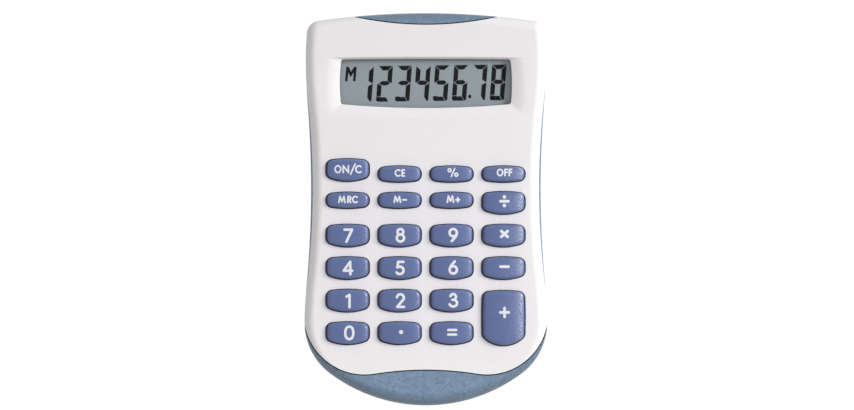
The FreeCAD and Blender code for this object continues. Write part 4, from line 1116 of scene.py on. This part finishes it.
class CALCULATOR_OT_key_caps(bpy.types.Operator):
    """Build the 23 key caps on the places of their CAD nodes"""

    bl_idname = "calculator.key_caps"
    bl_label = "Key caps"

    def execute(self, context):
        settings = context.scene.calculator_keys
        finish = moulded(
            "blue_key_plastic", settings.plastic_colour, grain=0.36, grain_tone=0.10,
            patch=7.0, patch_tone=0.04, rough=(0.24, 0.34), height=0.10,
            rim=(0.12, 0.155, 0.33),
        )
        tree = key_cap_tree()
        sides = {
            "big": (settings.side_radius, settings.big_bottom_radius),
            "small": (settings.side_radius, settings.small_bottom_radius),
            "tall": (settings.tall_side_radius, settings.tall_bottom_radius),
        }
        for name, (kind, _) in KEYS.items():
            node, body = f"key_{name}", f"cap_{name}"
            low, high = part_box(node)
            middle = (low + high) / 2
            width = high.x - low.x - 2 * settings.flange_width
            height = high.y - low.y - 2 * settings.flange_width
            rings = cap_profile(settings, low.z, high.z, height)
            side_radius, bottom_radius = sides[kind]
            cap = grow(
                f"keycap_{name}", ring_mesh(node + "_rings", rings), tree,
                {
                    "Middle X": middle.x, "Middle Y": middle.y, "Width": width,
                    "Height": height, "Top Radius": settings.top_radius,
                    "Side Radius": side_radius, "Bottom Radius": bottom_radius,
                    "Corner Radius": settings.corner_radius,
                    "Crown Radius": settings.crown_radius, "Points": settings.points,
                    # Painted highlight, stronger on the right column
                    "Wear": settings.outer_painted_glint if middle.x > OUTER_COLUMN else settings.painted_glint,
                },
                finish,
            )
            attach(cap, body)
            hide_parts(node)
        return {"FINISHED"}


class CALCULATOR_OT_key_legends(bpy.types.Operator):
    """Print the legends on the key caps"""

    bl_idname = "calculator.key_legends"
    bl_label = "Key legends"

    def execute(self, context):
        settings = context.scene.calculator_print
        finish = ink("white_legend_ink", settings.ink_colour)
        tree = print_tree()
        for name, (_, legend) in KEYS.items():
            node, body = f"key_{name}", f"cap_{name}"
            low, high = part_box(node)
            middle = (low + high) / 2
            outlines = legend_outlines(legend, settings)
            flat = flat_mesh(node + "_print", outlines, middle.x / MM, middle.y / MM)
            mark = grow(
                f"legend_{name}", flat, tree,
                {
                    "Middle X": middle.x, "Top Level": high.z,
                    "Crown Radius": context.scene.calculator_keys.crown_radius,
                    "Thickness": settings.ink_thickness,
                },
                finish,
            )
            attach(mark, body)
        return {"FINISHED"}


class CALCULATOR_OT_display(bpy.types.Operator):
    """Finish the window and the film, and show the digits"""

    bl_idname = "calculator.display"
    bl_label = "Display"

    def execute(self, context):
        settings = context.scene.calculator_display
        give("display_window", window_finish("clear_window_plate"))
        film = moulded(
            "grey_display_film", settings.film_colour, grain=0.45, grain_tone=0.10,
            patch=6.0, patch_tone=0.015, rough=(0.42, 0.52), height=0.0015, shine=0.3,
        )
        give("lcd_front_polariser", film)
        film_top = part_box("lcd_front_polariser")[1].z

        lean = math.tan(settings.slant)
        outlines = segment_outlines(
            settings.digit_width / MM, settings.digit_height / MM, settings.segment_width / MM,
        )
        points, faces, segments = [], [], []

        def lay(outline, segment, x=0.0, y=0.0):
            faces.append(list(range(len(points), len(points) + len(outline))))
            points.extend(((px + py * lean + x) * MM, (py + y) * MM, 0.0) for px, py in outline)
            segments.append(segment)

        for segment, outline in enumerate(outlines):
            lay(outline, segment)
        lay(MEMORY_MARK, -1, *MEMORY_MARK_PLACE)
        lay(POINT_MARK, -1, *POINT_PLACE)
        mesh = bpy.data.meshes.new("segments")
        mesh.from_pydata(points, [], faces)
        attribute = mesh.attributes.new("segment", "INT", "FACE")
        attribute.data.foreach_set("value", segments)
        dark = ink(
            "dark_display_segment", settings.segment_colour, tone=0.10, roughness=0.8, shine=0.0,
        )
        digits = grow(
            "display_digits", mesh, display_tree(settings.digits),
            {
                "Pitch": settings.digit_pitch, "First X": settings.first_x,
                "First Y": settings.first_y, "Turn": settings.turn, "Level": film_top,
                "Thickness": settings.ink_thickness,
            },
            dark,
        )
        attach(digits, CASE)
        return {"FINISHED"}


class CALCULATOR_OT_inner_parts(bpy.types.Operator):
    """Finish the parts inside the case"""

    bl_idname = "calculator.inner_parts"
    bl_label = "Inner parts"

    def execute(self, context):
        finishes = {
            ("window_adhesive",): ink("black_adhesive_tape", (0.02, 0.02, 0.02)),
            ("lcd_front_glass", "lcd_rear_glass"): moulded(
                "display_glass", (0.42, 0.47, 0.46), grain=2.0, grain_tone=0.02,
                rough=(0.05, 0.12), height=0.0),
            ("lcd_seal",): ink("seal_resin", (0.55, 0.52, 0.42)),
            ("lcd_reflector",): metal("reflector_film", (0.72, 0.74, 0.75), rough=(0.3, 0.5)),
            ("lcd_cushion",): moulded(
                "grey_foam", (0.16, 0.16, 0.17), grain=0.5, grain_tone=0.2,
                rough=(0.85, 0.95), height=0.15),
            ("lcd_holder",): moulded("black_holder_plastic", (0.03, 0.03, 0.032)),
            ("zebra_strip",): moulded(
                "grey_connector_rubber", (0.20, 0.20, 0.21), rough=(0.6, 0.8)),
            ("circuit_board",): moulded(
                "board_laminate", (0.30, 0.20, 0.08), grain=0.6, grain_tone=0.10,
                rough=(0.45, 0.6), height=0.01),
            ("key_contacts",): ink("printed_carbon", (0.025, 0.025, 0.027)),
            ("chip_blob",): moulded("black_resin", (0.012, 0.012, 0.013), rough=(0.2, 0.4)),
            ("chip_capacitors",): moulded("brown_ceramic", (0.34, 0.24, 0.15)),
            ("chip_resistors",): moulded("black_ceramic", (0.03, 0.03, 0.035)),
            ("rubber_keypad",): moulded(
                "grey_keypad_rubber", (0.42, 0.43, 0.45), grain=0.8, grain_tone=0.04,
                rough=(0.55, 0.7), height=0.01),
            ("cell_contact_negative", "cell_contact_positive"): metal(
                "plated_spring_steel", (0.62, 0.60, 0.55)),
            ("button_cell",): metal("cell_steel", (0.70, 0.70, 0.69), rough=(0.18, 0.35)),
        }
        for names, finish in finishes.items():
            for name in names:
                give(name, finish)
        return {"FINISHED"}


class CALCULATOR_OT_fasteners(bpy.types.Operator):
    """Finish the screws"""

    bl_idname = "calculator.fasteners"
    bl_label = "Fasteners"

    def execute(self, context):
        steel = metal("zinc_plated_steel", (0.56, 0.57, 0.58))
        black = metal("black_plated_steel", (0.10, 0.10, 0.11), rough=(0.3, 0.5))
        give("board_screws", steel)
        give("case_screws", black)
        return {"FINISHED"}


# The floor: how far it lies under the object, its grey, the strength of its white, and the share
# of that white which the camera, gloss and glass see
FLOOR_DROP = 0.05 * MM
FLOOR_GREY = (0.50, 0.50, 0.50)
FLOOR_GLOW = 1.12
FLOOR_WHITE_SHARE = 0.88


def area_lamp(name, power, width, depth, place, turn):
    """A flat lamp at a place, which shines down before it is turned."""
    light = bpy.data.lights.new(name, "AREA")
    light.shape = "RECTANGLE"
    light.size = width
    light.size_y = depth
    light.energy = power
    lamp = new_object(name, light)
    lamp.location = place
    lamp.rotation_euler = turn
    return lamp


class CALCULATOR_OT_stage(bpy.types.Operator):
    """Set up the floor, the soft light and the camera"""

    bl_idname = "calculator.stage"
    bl_label = "Stage"

    def execute(self, context):
        settings = context.scene.calculator_stage
        scene = context.scene
        scene.view_settings.view_transform = "Standard"

        reach = settings.floor_reach
        square = ((-reach, -reach), (reach, -reach), (reach, reach), (-reach, reach))
        floor_mesh = bpy.data.meshes.new("floor")
        floor_mesh.from_pydata([(x, y, -FLOOR_DROP) for x, y in square], [], [(0, 1, 2, 3)])
        floor = new_object("floor", floor_mesh)
        floor.data.materials.append(self.floor_finish())
        floor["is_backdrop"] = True

        self.sky(scene, settings.ambient)

        azimuth, height = settings.lamp_azimuth, settings.lamp_height
        way = Vector((
            math.cos(height) * math.cos(azimuth), math.cos(height) * math.sin(azimuth),
            math.sin(height),
        ))
        area_lamp(
            "soft_lamp", settings.light_power, settings.lamp_size, settings.lamp_size,
            way * settings.lamp_distance, way.to_track_quat("Z", "Y").to_euler(),
        )
        lean = math.atan2(settings.strip_x - settings.strip_aim, settings.strip_height)
        strip = area_lamp(
            "gloss_strip", settings.strip_power, settings.strip_width, settings.strip_length,
            (settings.strip_x, settings.strip_y, settings.strip_height), (0.0, lean, 0.0),
        )
        strip.visible_camera = False
        strip.visible_diffuse = False

        camera = bpy.data.cameras.new("camera")
        camera.lens = camera.sensor_width * settings.view_distance / settings.view_width
        camera_object = new_object("camera", camera)
        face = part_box("front_cover")[1].z
        camera_object.location = (
            settings.view_x, settings.view_y, face + settings.view_distance,
        )
        scene.camera = camera_object
        return {"FINISHED"}

    def seen(self, tree):
        """1 for a ray from the camera, or one that gloss or glass sends on."""
        path = tree.nodes.new("ShaderNodeLightPath")
        rays = [
            Term(tree, path.outputs[name])
            for name in ("Is Camera Ray", "Is Glossy Ray", "Is Transmission Ray")
        ]
        return rays[0].math("MAXIMUM", rays[1]).math("MAXIMUM", rays[2])

    def floor_finish(self):
        """Pale matt floor, nearly white to the camera, gloss and glass."""
        material = bpy.data.materials.new("pale_floor")
        tree, surface = bare_tree(material, "ShaderNodeOutputMaterial")
        dust = noise(tree, object_place(tree), 60.0, 3.0)
        matt = add(tree, "ShaderNodeBsdfPrincipled", {
            "Base Color": tinted(tree, FLOOR_GREY, 0.99 + dust * 0.02), "Roughness": 0.9,
            "Specular IOR Level": 0.0,
        })
        white = add(
            tree, "ShaderNodeEmission", {"Color": WHITE, "Strength": FLOOR_GLOW},
            output="Emission",
        )
        share = self.seen(tree) * FLOOR_WHITE_SHARE
        both = add(tree, "ShaderNodeMixShader", {0: share, 1: matt, 2: white}, output="Shader")
        put(tree, surface, both)
        return material

    def sky(self, scene, ambient):
        """Even light all round, and white to the camera, gloss and glass."""
        scene.world = bpy.data.worlds.new("studio")
        tree, surface = bare_tree(scene.world, "ShaderNodeOutputWorld")
        strength = ambient + self.seen(tree) * (1.0 - ambient)
        sky = add(
            tree, "ShaderNodeBackground", {"Color": WHITE, "Strength": strength},
            output="Background",
        )
        put(tree, surface, sky)


OPERATORS = (
    CALCULATOR_OT_stage,
    CALCULATOR_OT_case,
    CALCULATOR_OT_key_caps,
    CALCULATOR_OT_key_legends,
    CALCULATOR_OT_display,
    CALCULATOR_OT_inner_parts,
    CALCULATOR_OT_fasteners,
)


class CALCULATOR_PT_pieces(bpy.types.Panel):
    """Lists the pieces of the calculator"""

    bl_idname = "CALCULATOR_PT_pieces"
    bl_label = "Calculator"
    bl_space_type = "VIEW_3D"
    bl_region_type = "UI"
    bl_category = "Calculator"

    def draw(self, context):
        for group in SETTINGS:
            settings = getattr(context.scene, group)
            box = self.layout.box()
            for name in settings.bl_rna.properties.keys():
                if name not in ("rna_type", "name"):
                    box.prop(settings, name)
        for operator in OPERATORS:
            self.layout.operator(operator.bl_idname)


CLASSES = (*SETTINGS.values(), *OPERATORS, CALCULATOR_PT_pieces)


def register():
    for item in CLASSES:
        bpy.utils.register_class(item)
    for name, group in SETTINGS.items():
        setattr(bpy.types.Scene, name, PointerProperty(type=group))


def unregister():
    for name in SETTINGS:
        delattr(bpy.types.Scene, name)
    for item in reversed(CLASSES):
        bpy.utils.unregister_class(item)


def corners():
    return [list(corner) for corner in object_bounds()]


def main():
    register()
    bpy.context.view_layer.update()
    bpy.ops.calculator.stage()
    bpy.ops.calculator.case()
    bpy.ops.calculator.key_caps()
    bpy.ops.calculator.key_legends()
    bpy.ops.calculator.display()
    bpy.ops.calculator.inner_parts()
    bpy.ops.calculator.fasteners()


if __name__ == "__main__":
    main()
